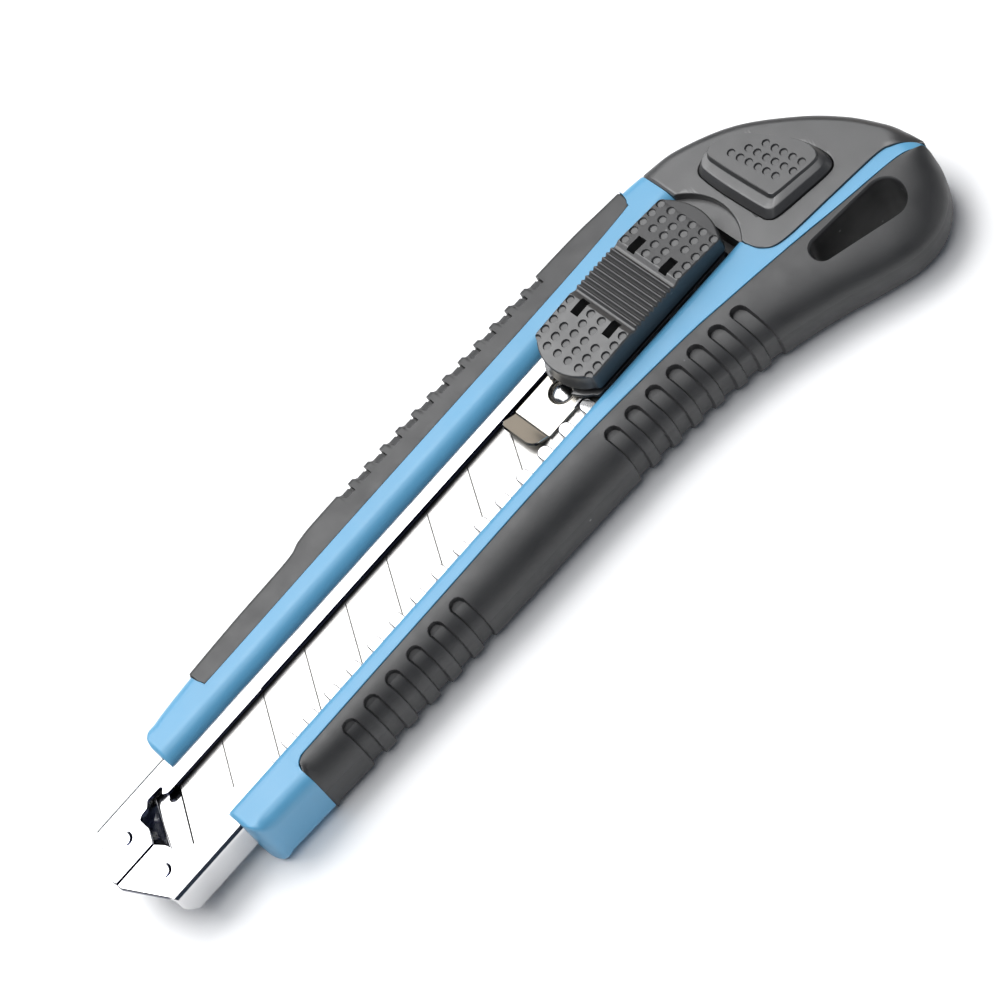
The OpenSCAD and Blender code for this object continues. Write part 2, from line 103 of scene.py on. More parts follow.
# Plan of the handle: its silhouette, and the seams between its pieces.
BELLY_RIM = [
    (20.6, -11), (20.8, -12.6), (21.6, -14.4), (23.6, -15.3), (32, -15.7), (45, -16.5), (68, -17.4),
    (90, -18), (107, -18.6), (124, -20.3), (138, -23.5), (149, -27.3), (158, -31), (163.4, -32.5),
    (168, -31.9), (172.2, -29.6), (175.2, -26.2), (176.6, -22.8),
]
SPINE_RIM = [
    (20.6, 11), (20.8, 12.4), (21.6, 14), (23.8, 15.2), (32, 16), (45, 16.6), (58.5, 16.9),
    (62.5, 17.8), (72, 18.07), (122, 18), (138, 17.1), (146, 16.1), (154.2, 13.3), (162.2, 8.2),
    (169.3, 0), (173.4, -6.8), (175.7, -12.8), (176.9, -17.6), (176.9, -22),
]
BELLY_SEAM = [
    (33.4, -13.4), (33.9, -12.1), (35.3, -11.3), (38, -11.2), (68, -11), (100, -11), (125, -12.6),
    (138, -14.3), (149.6, -16.1), (160, -18), (168, -19.3), (172.3, -20.2), (174.6, -21.3),
    (176.5, -22.7),
]
SPINE_SEAM = [
    (33.5, 15.2), (33.8, 13.2), (34.8, 12.2), (37, 12), (70, 12.3), (120, 12.5), (138.4, 13),
    (140.3, 13.7), (141, 15), (141.2, 16.4),
]
CAP_SEAM = [
    (CAP_X, -9.4), (146.5, -12.4), (149.6, -14.6), (160, -15.8), (170.3, -16.9), (173, -18),
    (175.2, -19.8), (176.7, -21.7),
]


# ---- lines
def smooth(points, steps=12, closed=False):
    """A Catmull-Rom line through the points."""
    p = np.asarray(points, float)
    n = len(p)
    t = np.linspace(0, 1, steps, endpoint=False)[:, None]
    spans = []
    for i in range(n if closed else n - 1):
        if closed:
            a, b, c, d = p[i - 1], p[i], p[(i + 1) % n], p[(i + 2) % n]
        else:
            a, b, c, d = p[max(i - 1, 0)], p[i], p[i + 1], p[min(i + 2, n - 1)]
        spans.append(0.5 * (2 * b + (c - a) * t + (2 * a - 5 * b + 4 * c - d) * t ** 2
                            + (3 * b - a - 3 * c + d) * t ** 3))
    if not closed:
        spans.append(p[-1:])
    return np.concatenate(spans)


def lengths(line):
    return np.r_[0, np.cumsum(np.linalg.norm(np.diff(line, axis=0), axis=1))]


def resample(line, step):
    """The same line with points about step apart."""
    s = lengths(line)
    at = np.linspace(0, s[-1], max(2, int(round(s[-1] / step)) + 1))
    return np.stack([np.interp(at, s, line[:, k]) for k in (0, 1)], 1)


def at_shares(line, shares):
    """The points at shares of the line's length."""
    s = lengths(line)
    return np.stack([np.interp(shares * s[-1], s, line[:, k]) for k in (0, 1)], 1)


def y_on(line, x):
    return np.interp(x, line[:, 0], line[:, 1])


def part_of(line, x0, x1):
    """The stretch of a line between two stations, ends included."""
    inner = line[(line[:, 0] > x0 + 0.01) & (line[:, 0] < x1 - 0.01)]
    return np.vstack([[x0, y_on(line, x0)], inner, [x1, y_on(line, x1)]])


def towards(a, b):
    """The distance from a to b, and the unit direction."""
    across = b - a
    width = np.linalg.norm(across)
    return width, across / width


def bend(p, corner, q, t):
    """Points at shares t of the curve from p to q that a corner pulls outwards."""
    return (1 - t) ** 2 * p + 2 * t * (1 - t) * np.array(corner) + t ** 2 * q


def left_of(line):
    """Unit normals of an open line, to the left of its direction."""
    t = np.gradient(line, axis=0)
    t /= np.maximum(np.linalg.norm(t, axis=1), 1e-9)[:, None]
    return np.column_stack([-t[:, 1], t[:, 0]])


def normals(ring):
    """Unit normals of a closed plan ring, to the left of its direction."""
    t = np.roll(ring, -1, 0) - np.roll(ring, 1, 0)
    t /= np.maximum(np.linalg.norm(t, axis=1), 1e-9)[:, None]
    return np.stack([-t[:, 1], t[:, 0]], 1)


def into(plan):
    """Unit normals of a closed plan ring, into it."""
    x, y = plan.T
    area = np.sum(x * np.roll(y, -1) - np.roll(x, -1) * y)
    return normals(plan) * math.copysign(1, area)


def ease(x):
    """Rises smoothly from 0 to 1 as x does."""
    x = np.clip(x, 0, 1)
    return x * x * (3 - 2 * x)


def round_off(distance, radius):
    """How much a rounded corner takes away at a distance from its edge."""
    return radius * (1 - math.sqrt(max(0.0, 1 - max(0.0, 1 - distance / radius) ** 2)))


belly_rim = smooth(BELLY_RIM)
spine_rim = smooth(SPINE_RIM)
belly_seam = smooth(BELLY_SEAM)
spine_seam = smooth(SPINE_SEAM)
cap_seam = smooth(CAP_SEAM)


# ---- meshes
def add(name, data):
    """A new object in the scene."""
    obj = bpy.data.objects.new(name, data)
    bpy.context.scene.collection.objects.link(obj)
    return obj


def make(name, points, faces):
    """A mesh object from points in knife millimetres."""
    mesh = bpy.data.meshes.new(name)
    at = np.asarray(points, float) * MM + np.array([STATION_0, 0, LIPS]) * MM
    mesh.from_pydata(at.tolist(), [], [list(map(int, f)) for f in faces])
    bm = bmesh.new()
    bm.from_mesh(mesh)
    bmesh.ops.remove_doubles(bm, verts=bm.verts, dist=2e-6)
    bmesh.ops.dissolve_degenerate(bm, edges=bm.edges, dist=1e-6)
    bmesh.ops.recalc_face_normals(bm, faces=bm.faces)
    bm.to_mesh(mesh)
    bm.free()
    return add(name, mesh)


def at_station(x, section):
    """Points (y, z) of a section, placed at a station."""
    return np.column_stack([np.full(len(section), x), section])


def loft(name, rings, mirrored_caps=False):
    """Skin over closed rings of the same length. Both ends are closed."""
    rings = np.asarray(rings, float)
    count, k, _ = rings.shape
    faces = [(r * k + i, r * k + (i + 1) % k, (r + 1) * k + (i + 1) % k, (r + 1) * k + i)
             for r in range(count - 1) for i in range(k)]
    last = (count - 1) * k
    if mirrored_caps:
        for base in (0, last):
            faces += [(base + i, base + i + 1, base + k - i - 1, base + (k - i) % k)
                      for i in range(k // 2)]
    else:
        faces += [list(range(k)), list(range(last, last + k))]
    return make(name, rings.reshape(-1, 3), faces)


def ring_at(plan, z):
    """The plan's points at one height, or at a height for each."""
    z = np.broadcast_to(np.asarray(z, float), (len(plan),))
    return np.column_stack([plan, z])


FLARE_ANGLES = np.radians([0, 25, 50, 72])  # steps round the edge that a flared cutter leaves


def cutter(name, plan, low, high, flare=0.0):
    """A prism for cutting, whose top flares outwards like a rounded edge at height high."""
    plan = np.asarray(plan, float)
    rings = [ring_at(plan, low)]
    if flare:
        out = -into(plan) * flare
        for a in FLARE_ANGLES:
            rings.append(ring_at(plan + out * (1 - math.cos(a)), high - flare + flare * math.sin(a)))
        rings.append(ring_at(plan + out * 1.6, high + flare * 0.4))
    else:
        rings.append(ring_at(plan, high))
    return loft(name, rings)


def rectangle(x0, y0, x1, y1):
    return np.array([(x0, y0), (x1, y0), (x1, y1), (x0, y1)], float)


def box_cutter(low, high):
    return cutter("box", rectangle(low[0], low[1], high[0], high[1]), low[2], high[2])


def circle(x, y, r, n=40):
    a = np.linspace(0, 2 * math.pi, n, endpoint=False)
    return np.column_stack([x + r * np.cos(a), y + r * np.sin(a)])


def settle(obj):
    """Makes the object's modifiers part of its mesh."""
    graph = bpy.context.evaluated_depsgraph_get()
    mesh = bpy.data.meshes.new_from_object(obj.evaluated_get(graph))
    old = obj.data
    obj.modifiers.clear()
    obj.data = mesh
    bpy.data.meshes.remove(old)
    return obj


def combine(obj, tools, how="DIFFERENCE"):
    """Cuts away, adds or keeps the overlap with each tool, and throws the tools away."""
    for tool in tools:
        mod = obj.modifiers.new("combine", "BOOLEAN")
        mod.object = tool
        mod.operation = how
        mod.solver = "EXACT"
        settle(obj)
        bpy.data.objects.remove(tool)
    tidy(obj)
    return obj


def join(objs):
    """One object from several that don't touch, such as a set of cutters."""
    bm = bmesh.new()
    for o in objs:
        bm.from_mesh(o.data)
    bm.to_mesh(objs[0].data)
    bm.free()
    for o in objs[1:]:
        bpy.data.objects.remove(o)
    return objs[0]


def tidy(obj):
    """Welds points that lie together, and removes faces with no area."""
    bm = bmesh.new()
    bm.from_mesh(obj.data)
    bmesh.ops.remove_doubles(bm, verts=bm.verts, dist=2e-6)
    bmesh.ops.dissolve_degenerate(bm, edges=bm.edges, dist=2e-6)
    bm.to_mesh(obj.data)
    bm.free()


def soften(obj, width, angle):
    """Rounds every edge sharper than the angle."""
    mod = obj.modifiers.new("soften", "BEVEL")
    mod.width = width * MM
    mod.segments = 2
    mod.limit_method = "ANGLE"
    mod.angle_limit = math.radians(angle)
    mod.use_clamp_overlap = True
    mod.miter_outer = "MITER_ARC"
    return settle(obj)


def dress(obj, body, slot, nodes, sharp=32):
    """Gives a finished piece its shading, material and body, and hides the frame pieces it replaces."""
    obj.data.shade_smooth()
    obj.data.set_sharp_from_angle(angle=math.radians(sharp))
    mod = obj.modifiers.new("flat faces stay flat", "WEIGHTED_NORMAL")
    mod.keep_sharp = True
    settle(obj)
    obj.data.materials.clear()
    obj.data.materials.append(MATERIALS[slot])
    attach(obj, body)
    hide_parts(*nodes)
    return obj


# ---- materials
def principled(name, colour, rough, metal=0.0, specular=0.5):
    mat = bpy.data.materials.new(name)
    mat.use_nodes = True
    tree = mat.node_tree
    shader = tree.nodes["Principled BSDF"]
    for key, value in (("Metallic", metal), ("Specular IOR Level", specular), ("Base Color", (*colour, 1)),
                       ("Roughness", rough)):
        shader.inputs[key].default_value = value
    where = tree.nodes.new("ShaderNodeTexCoord")
    return mat, tree, shader, where.outputs["Object"]


def add_node(tree, kind, settings):
    """A shader node. Each setting is a number, a tuple or another node's output."""
    node = tree.nodes.new(kind)
    for key, value in settings.items():
        if isinstance(value, bpy.types.NodeSocket):
            tree.links.new(value, node.inputs[key])
        else:
            node.inputs[key].default_value = value
    return node


def noise(tree, where, scale, detail=4.0, stretch=(1, 1, 1), rough=0.6):
    mapping = add_node(tree, "ShaderNodeMapping", {"Scale": stretch, "Vector": where})
    place = mapping.outputs["Vector"]
    settings = {"Scale": scale, "Detail": detail, "Roughness": rough, "Vector": place}
    return add_node(tree, "ShaderNodeTexNoise", settings).outputs["Fac"]


def ramp(tree, value, low, high, at=(0.3, 0.7)):
    """Maps a texture's value to a range of numbers or colours."""
    node = tree.nodes.new("ShaderNodeValToRGB")
    for stop, where, colour in zip(node.color_ramp.elements, at, (low, high)):
        stop.position = where
        stop.color = (*colour, 1) if isinstance(colour, tuple) else (colour, colour, colour, 1)
    tree.links.new(value, node.inputs["Fac"])
    return node.outputs["Color"]


def bump(tree, shader, height, depth, strength=1.0, before=None):
    """Surface relief, with its depth in millimetres."""
    settings = {"Strength": strength, "Distance": depth * MM, "Height": height}
    if before is not None:
        settings["Normal"] = before
    normal = add_node(tree, "ShaderNodeBump", settings).outputs["Normal"]
    tree.links.new(normal, shader.inputs["Normal"])
    return normal


def mix(tree, factor, a, b):
    node = tree.nodes.new("ShaderNodeMix")
    node.data_type = "RGBA"
    tree.links.new(factor, node.inputs["Factor"])
    for value, socket in ((a, node.inputs["A"]), (b, node.inputs["B"])):
        if isinstance(value, tuple):
            socket.default_value = (*value, 1)
        else:
            tree.links.new(value, socket)
    return node.outputs["Result"]


def shade(colour, by):
    return tuple(min(1.0, c * by) for c in colour)


def maths(tree, a, operation, b):
    """A comparison or product of a value with another or with a number."""
    node = add_node(tree, "ShaderNodeMath", {0: a, 1: b})
    node.operation = operation
    return node.outputs[0]


# Scales of the surface textures, per metre.
MOTTLE, GRAIN_PATCHES, DUST, DUST_PATCHES, SMEARS, PAPER = 60, 240, 190, 34, 90, 30


def moulded(name, colour, rough, grain, grain_depth, specular=0.5, specks=0.0, spread=0.08):
    """Moulded plastic or rubber: slight mottling, fine surface grain, and a few dust specks."""
    mat, tree, shader, where = principled(name, colour, rough, specular=specular)
    mottle = noise(tree, where, MOTTLE, 3)
    base = ramp(tree, mottle, shade(colour, 1 - spread), shade(colour, 1 + spread))
    if specks:
        dust = add_node(tree, "ShaderNodeTexVoronoi", {"Scale": DUST, "Vector": where})
        dots = ramp(tree, dust.outputs["Distance"], 1.0, 0.0, (0.035, 0.06))
        thin = ramp(tree, noise(tree, where, DUST_PATCHES, 1), 0.0, 1.0, (0.56, 0.6))
        base = mix(tree, maths(tree, dots, "MULTIPLY", thin), base, shade(colour, 1 + specks))
    tree.links.new(base, shader.inputs["Base Color"])
    patches = noise(tree, where, GRAIN_PATCHES, 3)
    tree.links.new(ramp(tree, patches, rough - 0.05, rough + 0.06), shader.inputs["Roughness"])
    coarse = bump(tree, shader, mottle, grain_depth * 1.5, 0.5)
    bump(tree, shader, noise(tree, where, grain, 2), grain_depth, 0.7, coarse)
    return mat


def edge_shade_mask(tree, where):
    """Mask for a painted shade: 1 on the sloped and upright faces round the channel's lips (their cut edges,
    the teeth, the window), 0 elsewhere.
    """
    geometry = tree.nodes.new("ShaderNodeNewGeometry")
    normal = add_node(tree, "ShaderNodeSeparateXYZ", {0: geometry.outputs["True Normal"]})
    place = add_node(tree, "ShaderNodeSeparateXYZ", {0: where})
    leaning = maths(tree, normal.outputs["Z"], "LESS_THAN", 0.94)
    high = maths(tree, place.outputs["Z"], "GREATER_THAN", (LIPS - SHEET - 0.05) * MM)
    left = maths(tree, place.outputs["Y"], "GREATER_THAN", (BEND - CHANNEL_HALF) * MM)
    right = maths(tree, place.outputs["Y"], "LESS_THAN", (CHANNEL_HALF - BEND) * MM)
    share = leaning
    for other in (high, left, right):
        share = maths(tree, share, "MULTIPLY", other)
    return share


def metal(name, colour, rough, brush, depth, spread=0.05, edges=None):
    """Steel with fine lines along the brush direction, faint smears and a few scratches. Given edges, the
    channel lips' cut edges are painted a dark navy that stands in for shade and for the reflection of the
    blue body.
    """
    mat, tree, shader, where = principled(name, colour, rough, metal=1.0)
    lines = noise(tree, where, 1, 5, brush, 0.7)
    smear = noise(tree, where, SMEARS, 3)
    base = ramp(tree, smear, shade(colour, 1 - spread), colour)
    if edges:
        # painted shade: the lips' cut edges get a dark navy colour in place of shade and of the blue body's
        # reflection
        base = mix(tree, edge_shade_mask(tree, where), base, edges)
    tree.links.new(base, shader.inputs["Base Color"])
    tree.links.new(ramp(tree, smear, rough - 0.04, rough + 0.07), shader.inputs["Roughness"])
    first = bump(tree, shader, lines, depth, 0.6)
    sparse = noise(tree, where, 1, 1, tuple(0.35 * b for b in brush), 0.3)
    scratch = ramp(tree, sparse, 0.0, 1.0, (0.70, 0.74))
    bump(tree, shader, scratch, -depth, 0.5, first)
    return mat


BLUE = (0.10, 0.31, 0.50)
RUBBER = (0.020, 0.020, 0.0205)
BLACK = (0.025, 0.025, 0.0255)
TRAY = (0.09, 0.09, 0.095)
SHEET_STEEL = (0.60, 0.60, 0.605)
# dark navy painted on the lips' cut edges as shade and as the blue body's reflection, not the steel's own
# colour
EDGE_SHADE_NAVY = (0.025, 0.03, 0.065)
BLADE_STEEL = (0.40, 0.395, 0.385)
CARRIER_STEEL = (0.46, 0.435, 0.39)
PIN_STEEL = (0.42, 0.42, 0.42)
ALONG = (260, 5200, 5200)  # brush lines that run along the knife
ACROSS = (5200, 900, 5200)
LOOKS = {
    "blue_plastic": (moulded, BLUE, 0.34, 2600, 0.006, 0.5, 0.0, 0.03),
    "black_rubber": (moulded, RUBBER, 0.50, 3600, 0.012, 0.68, 7.0, 0.12),
    "black_plastic": (moulded, BLACK, 0.42, 3000, 0.010, 0.95, 5.0),
    "slider_plastic": (moulded, BLACK, 0.43, 3000, 0.010, 0.95, 4.0),
    "button_plastic": (moulded, BLACK, 0.42, 3000, 0.010, 0.95, 4.0),
    "tray_plastic": (moulded, TRAY, 0.5, 2400, 0.012, 0.45),
    # the sheet steel's last setting is the painted dark navy shade on its cut edges
    "sheet_steel": (metal, SHEET_STEEL, 0.12, ALONG, 0.0016, 0.05, EDGE_SHADE_NAVY),
    "blade_steel": (metal, BLADE_STEEL, 0.30, ACROSS, 0.0020, 0.08),
    "carrier_steel": (metal, CARRIER_STEEL, 0.20, ALONG, 0.0014),
    "pin_steel": (metal, PIN_STEEL, 0.16, (3000, 3000, 3000), 0.0010),
    "spring_steel": (metal, PIN_STEEL, 0.18, (2600, 2600, 2600), 0.0010),
}
MATERIALS = {}
for name, (build, *settings) in LOOKS.items():
    MATERIALS[name] = build(name, *settings)
    MATERIALS[name].name = name  # the frame's own material of this name gives it up


# ---- belly grip
# Stations of the grooves' middles, in a front and a rear group.
GROOVES = [43.8 + 5.18 * i for i in range(6)] + [107.3 + 4.72 * i for i in range(7)]
GROOVE_HALF = 1.45
GROOVE_TOP = 1.75  # from the seam to a groove's round end
GROOVE_POCKET = 1.25  # depth at the round end
GROOVE_SIDE = 0.5  # depth on the side
GROOVE_LOW = 0.62  # depth below the parting line

TAIL_X = 149  # past here the grip turns round the tail
# Seam and rim points that face each other on the tail.
BELLY_PAIRS = [
    ((149.6, -16.1), (149.6, -27.55)), ((155, -17.1), (155.6, -30.15)), ((160, -18), (161.6, -32.2)),
    ((164.4, -18.75), (167.2, -32.15)), ((168, -19.3), (171.6, -30.05)), ((171, -19.85), (174.4, -27.3)),
    ((173.4, -20.65), (176, -24.6)), ((175.6, -21.95), (176.6, -22.9)),
]


def belly_stations():
    """Facing points on the seam and the rim. They are close together at the grooves."""
    near = np.arange(-GROOVE_HALF - 0.3, GROOVE_HALF + 0.31, 0.125)
    straight = np.arange(GRIP_FRONT - 0.6, TAIL_X + 0.5, 0.8)
    x = np.concatenate([straight] + [g + near for g in GROOVES])
    x = np.unique(np.round(np.sort(x), 3))
    x = x[np.r_[True, np.diff(x) > 0.05]]
    seam = np.column_stack([x, y_on(belly_seam, x)])
    rim = np.column_stack([x, y_on(belly_rim, x)])
    tail = np.array(BELLY_PAIRS, float)
    seam_tail = smooth(tail[:, 0], 9)
    rim_tail = smooth(tail[:, 1], 9)
    return np.vstack([seam, seam_tail]), np.vstack([rim, rim_tail])


def groove_depth(x, along, middle):
    """How deep the grooves are at a station, a distance along the section from the seam."""
    depth = np.zeros_like(along)
    centre = GROOVE_TOP + GROOVE_HALF
    pocket = np.clip(1 - (along - centre) / (0.62 * middle), 0, 1)
    side = GROOVE_SIDE + (GROOVE_POCKET - GROOVE_SIDE) * pocket
    floor = np.where(along > middle, GROOVE_LOW, side)
    front_wall, rear_wall, end_wall = 0.45, 0.16, 0.3  # widths of the slopes
    for g in GROOVES:
        if abs(x - g) > GROOVE_HALF + 1:
            continue
        d = np.where(along < centre, np.hypot(x - g, along - centre), abs(x - g))
        slope = np.where(along < centre, end_wall, rear_wall if x > g else front_wall)
        wall = ease((GROOVE_HALF - d) / slope)
        depth = np.maximum(depth, wall * floor)
    return depth


def belly_section(seam, rim, x, shrink):
    """The grip's section from the seam, over the top and round the rim to the underside.

    It is a quarter ellipse down to the parting line, and a squarer curve below."""
    width, out = towards(seam, rim)
    lip = 0.22  # small rounding at the seam
    upper = np.linspace(0, math.pi / 2, 84)
    w = lip + (width - lip) * np.sin(upper)
    z = PARTING_Z + (GRIP_TOP - PARTING_Z) * np.cos(upper)
    seam_round = np.radians([0, 35, 65])
    w = np.r_[lip - lip * np.cos(seam_round), w]
    z = np.r_[GRIP_TOP - lip + lip * np.sin(seam_round), z]
    power = 2 / 2.7  # of a superellipse with exponent 2.7
    tuck = min(4.2, 0.62 * width)  # how far the underside draws in
    lower = np.linspace(0, math.pi / 2, 40)[1:]
    w_low = width - tuck + tuck * np.cos(lower) ** power
    z_low = PARTING_Z + (UNDERSIDE - PARTING_Z) * np.sin(lower) ** power
    w = np.r_[w, w_low]
    z = np.r_[z, z_low]
    line = np.column_stack([w, z])
    along = lengths(line) - lip
    middle = along[len(seam_round) + len(upper) - 1]
    inward = -left_of(line)
    line_depth, line_width, step = 0.22, 0.13, 0.08  # of the parting line
    sink = groove_depth(x, along, middle)
    sink += line_depth * np.exp(-((along - middle) / line_width) ** 2)
    sink += np.where(along > middle, step, 0.0)
    sink *= ease(along / 0.6)
    line = line + inward * (sink + shrink)[:, None]
    wall = [(0.3, UNDERSIDE), (0.0, UNDERSIDE + 0.3)]
    line = np.vstack([line, wall])
    line[:, 1] = np.maximum(line[:, 1], UNDERSIDE)
    place = seam + line[:, :1] * out
    return np.column_stack([place, line[:, 1]])


def hang_slot():
    """The tapered slot through the tail, with a flared rim on both faces."""
    near, near_r = np.array([152.4, -20.75]), 2.05
    far, far_r = np.array([165.2, -23.35]), 3.5
    between = far - near
    turn = math.atan2(between[1], between[0])
    lean = math.acos((near_r - far_r) / np.linalg.norm(between))
    near_arc = turn + np.linspace(lean, 2 * math.pi - lean, 26)
    far_arc = turn + np.linspace(-lean, lean, 34)
    plan = np.vstack([near + near_r * np.column_stack([np.cos(near_arc), np.sin(near_arc)]),
                      far + far_r * np.column_stack([np.cos(far_arc), np.sin(far_arc)])])
    flare = 0.55
    out = -into(plan) * flare
    inner = y_on(belly_seam, plan[:, 0])
    share = (plan[:, 1] - inner) / (y_on(belly_rim, plan[:, 0]) - inner)
    face = PARTING_Z + (GRIP_TOP - PARTING_Z) * np.sqrt(1 - share ** 2)
    rings = [ring_at(plan + out, UNDERSIDE - 1),
             ring_at(plan + out * 0.2, UNDERSIDE + 0.3),
             ring_at(plan, UNDERSIDE + 0.8)]
    for a in np.radians([0, 25, 48, 68]):
        rings.append(ring_at(plan + out * (1 - math.cos(a)), face - flare + flare * math.sin(a)))
    rings.append(ring_at(plan + out * 1.1, GRIP_TOP + 1))
    return loft("slot", rings)


def belly_grip():
    seam, rim = belly_stations()
    front = seam[0, 0]
    rings = []
    for a, b in zip(seam, rim):
        x = a[0] if a[0] < TAIL_X else math.inf  # the tail has no grooves
        shrink = 0.35 * (1 - ease((a[0] - front) / 0.9 + 0.05)) ** 2
        rings.append(belly_section(a, b, x, shrink))
    rings = np.array(rings)
    # The front edge leans back towards the underside.
    lean = 0.4 * np.clip((GRIP_TOP - rings[:, :, 2]) / (GRIP_TOP - UNDERSIDE), 0, 1)
    fade = np.clip(1 - (rings[:, :, 0] - front) / 8, 0, 1)
    rings[:, :, 0] += lean * fade
    grip = loft("belly_grip_rubber", rings)
    combine(grip, [hang_slot()])
    return dress(grip, "handle", "black_rubber", ["belly_grip"], 28)


# ---- spine grip
NOTCH_WALLS = [74.5 + 3.9 * i for i in range(13)]
NOTCH_FLOOR = 1.9  # length of a notch's floor, in front of its wall
NOTCH_RAMP = 0.9  # length of the slope down to the floor
CREASE = 0.50  # width of the crease at a notch's wall


def before_wall(x):
    """How far a station is in front of the next notch's wall."""
    return min([wall - x for wall in NOTCH_WALLS if wall > x], default=math.inf)


def notch_share(x):
    """How far a station is into a notch: 0 on a land, 1 on a notch's floor."""
    return 1 - np.clip((before_wall(x) - NOTCH_FLOOR) / NOTCH_RAMP, 0, 1)


def crease_share(x):
    """1 in the crease at the foot of a notch's wall, 0 elsewhere."""
    return 1 - ease((before_wall(x) - 0.6 * CREASE) / (0.4 * CREASE))


def spine_section(x, notch, crease, shrink):
    """The grip's section from the seam, over the top and down the side to the underside."""
    seam = y_on(spine_seam, x)
    out = y_on(spine_rim, x) - shrink
    lip = 0.22  # rounding at the seam
    land = 1.1  # rounding of a land's outer edge
    cut, reach = 0.35, 2.5  # a notch's depth in the side and its width on top
    low_round = 3.2  # rounding along the underside
    top = GRIP_TOP - shrink
    t = np.linspace(0, 1, 10)
    a = t * math.pi / 2
    land_arc = np.column_stack([out - land * (1 - np.sin(a)), top - land * (1 - np.cos(a))])
    sunk = (0.4 + 0.9 * crease) * ease(t * 4.0) + (0.8 - 0.5 * crease) * t ** 2
    scoop = np.column_stack([out - reach + (reach - cut) * t, top - sunk])
    edge = land_arc + (scoop - land_arc) * notch
    side = out - cut * notch
    under = np.column_stack([side - low_round * (1 - np.cos(a)), UNDERSIDE + low_round * (1 - np.sin(a))])
    flat = [(seam + lip + (edge[0, 0] - seam - lip) * f, top) for f in (0.0, 0.33, 0.66)]
    pts = np.vstack([[(seam, top - lip), (seam + 0.3 * lip, top - 0.3 * lip)], flat, edge,
                     [(side, (edge[-1, 1] + under[0, 1]) / 2)], under,
                     [(seam + 0.3, UNDERSIDE), (seam, UNDERSIDE + 0.3)]])
    return at_station(x, pts)


def spine_grip():
    x0, x1 = SPINE_SEAM[0][0], SPINE_SEAM[-1][0]
    x = [np.arange(x0, x1, 0.7), [x1 - 0.02]]
    for wall in NOTCH_WALLS:
        x.append(np.linspace(wall - NOTCH_FLOOR - NOTCH_RAMP, wall - NOTCH_FLOOR, 5))
        x.append([wall - CREASE, wall - 0.6 * CREASE, wall - 0.02, wall + 0.02])
    x.append(x0 + np.array([0.08, 0.2, 0.35, 0.5, 0.9, 1.2, 1.6, 2.4]))
    x.append(x1 - np.array([0.05, 0.15, 0.3, 0.5, 0.8, 1.1, 1.6]))
    rings = []
    for s in np.unique(np.round(np.concatenate(x), 3)):
        end = min(s - x0, x1 - s)
        shrink = 0.3 * (1 - ease(end / 0.5)) ** 2
        rings.append(spine_section(s, notch_share(s), crease_share(s), shrink))
    grip = loft("spine_grip_rubber", rings)
    return dress(grip, "handle", "black_rubber", ["spine_grip"], 28)


# ---- blue body
# A rail's inner wall, from its foot on the lips to its crest: half-width and height.
RAIL_WALL = smooth([(7.3, 0), (7.4, 0.5), (7.65, 1.0), (8.1, 1.5), (8.75, 1.95), (9.5, 2.23),
                    (10.3, RAIL_TOP)], 3)
RAIL_SHARE = np.linspace(0, 1, len(RAIL_WALL))
BELLY_LEAN = 0.72  # lean of the wall on the belly side, as a share of that on the spine side


def rounded_side(y, side, top, low, r_top, r_low):
    """Points down an outer side: round the top edge, down, and round the lower edge."""
    a = np.linspace(0, math.pi / 2, 9)
    upper = np.column_stack([y - side * r_top * (1 - np.sin(a)), top - r_top * (1 - np.cos(a))])
    lower = np.column_stack([y - side * r_low * (1 - np.cos(a)), low + r_low * (1 - np.sin(a))])
    return np.vstack([upper, lower])


def body_section(x, belly, spine, round_belly, round_spine, drop, low_round):
    """The body's C-shaped section round the channel, with the rails over its lips."""
    top = RAIL_TOP - drop
    t = np.linspace(0, 1, 14)
    inner = np.column_stack([np.interp(t, RAIL_SHARE, RAIL_WALL[:, 0]),
                             top / RAIL_TOP * np.interp(t, RAIL_SHARE, RAIL_WALL[:, 1])])
    crest = inner[-1, 0] + 0.1  # the outer edges' rounds stop short of it
    round_belly = min(round_belly, -belly - crest)
    round_spine = min(round_spine, spine - crest)
    foot = RAIL_WALL[0, 0]
    left = np.column_stack([-foot - (inner[:, 0] - foot) * BELLY_LEAN, inner[:, 1]])
    belly_side = rounded_side(belly, -1, top, UNDERSIDE, round_belly, low_round)
    spine_side = rounded_side(spine, 1, top, UNDERSIDE, round_spine, low_round)
    cavity = np.array([(CHANNEL_HALF, 0), (CHANNEL_HALF, CHANNEL_LOW), (-CHANNEL_HALF, CHANNEL_LOW),
                       (-CHANNEL_HALF, 0)])
    pts = np.vstack([left, belly_side, spine_side[::-1], inner[::-1], cavity])
    return at_station(x, pts)


def body_stations():
    """Stations of the body's sections, which are close together where its outline turns or steps."""
    near = [
        (FRONT_X, [0.02, 0.07, 0.17, 0.32, 0.52, 0.77, 1.02, 1.42, 1.92, 2.52, 3.22, 4.02, 5.02, 6.52, 8.02,
                   10.02]),
        (BELLY_SEAM[0][0], [-0.03, 0.0, 0.1, 0.3, 0.5, 0.9, 1.4, 1.9, 3]),
        (SPINE_SEAM[0][0], [-0.03, 0.0, 0.1, 0.2, 0.3, 0.6, 0.9, 1.3, 1.8, 2.6, 3.4]),
        (SPINE_SEAM[-1][0], [-3, -2.2, -1.6, -1, -0.9, -0.6, -0.4, -0.25, -0.1, 0.0, 0.03]),
        (CAP_X, [-0.08]),
    ]
    x = [np.arange(32, CAP_X, 1.2)] + [place + np.array(steps) for place, steps in near]
    return np.unique(np.round(np.concatenate(x), 3))


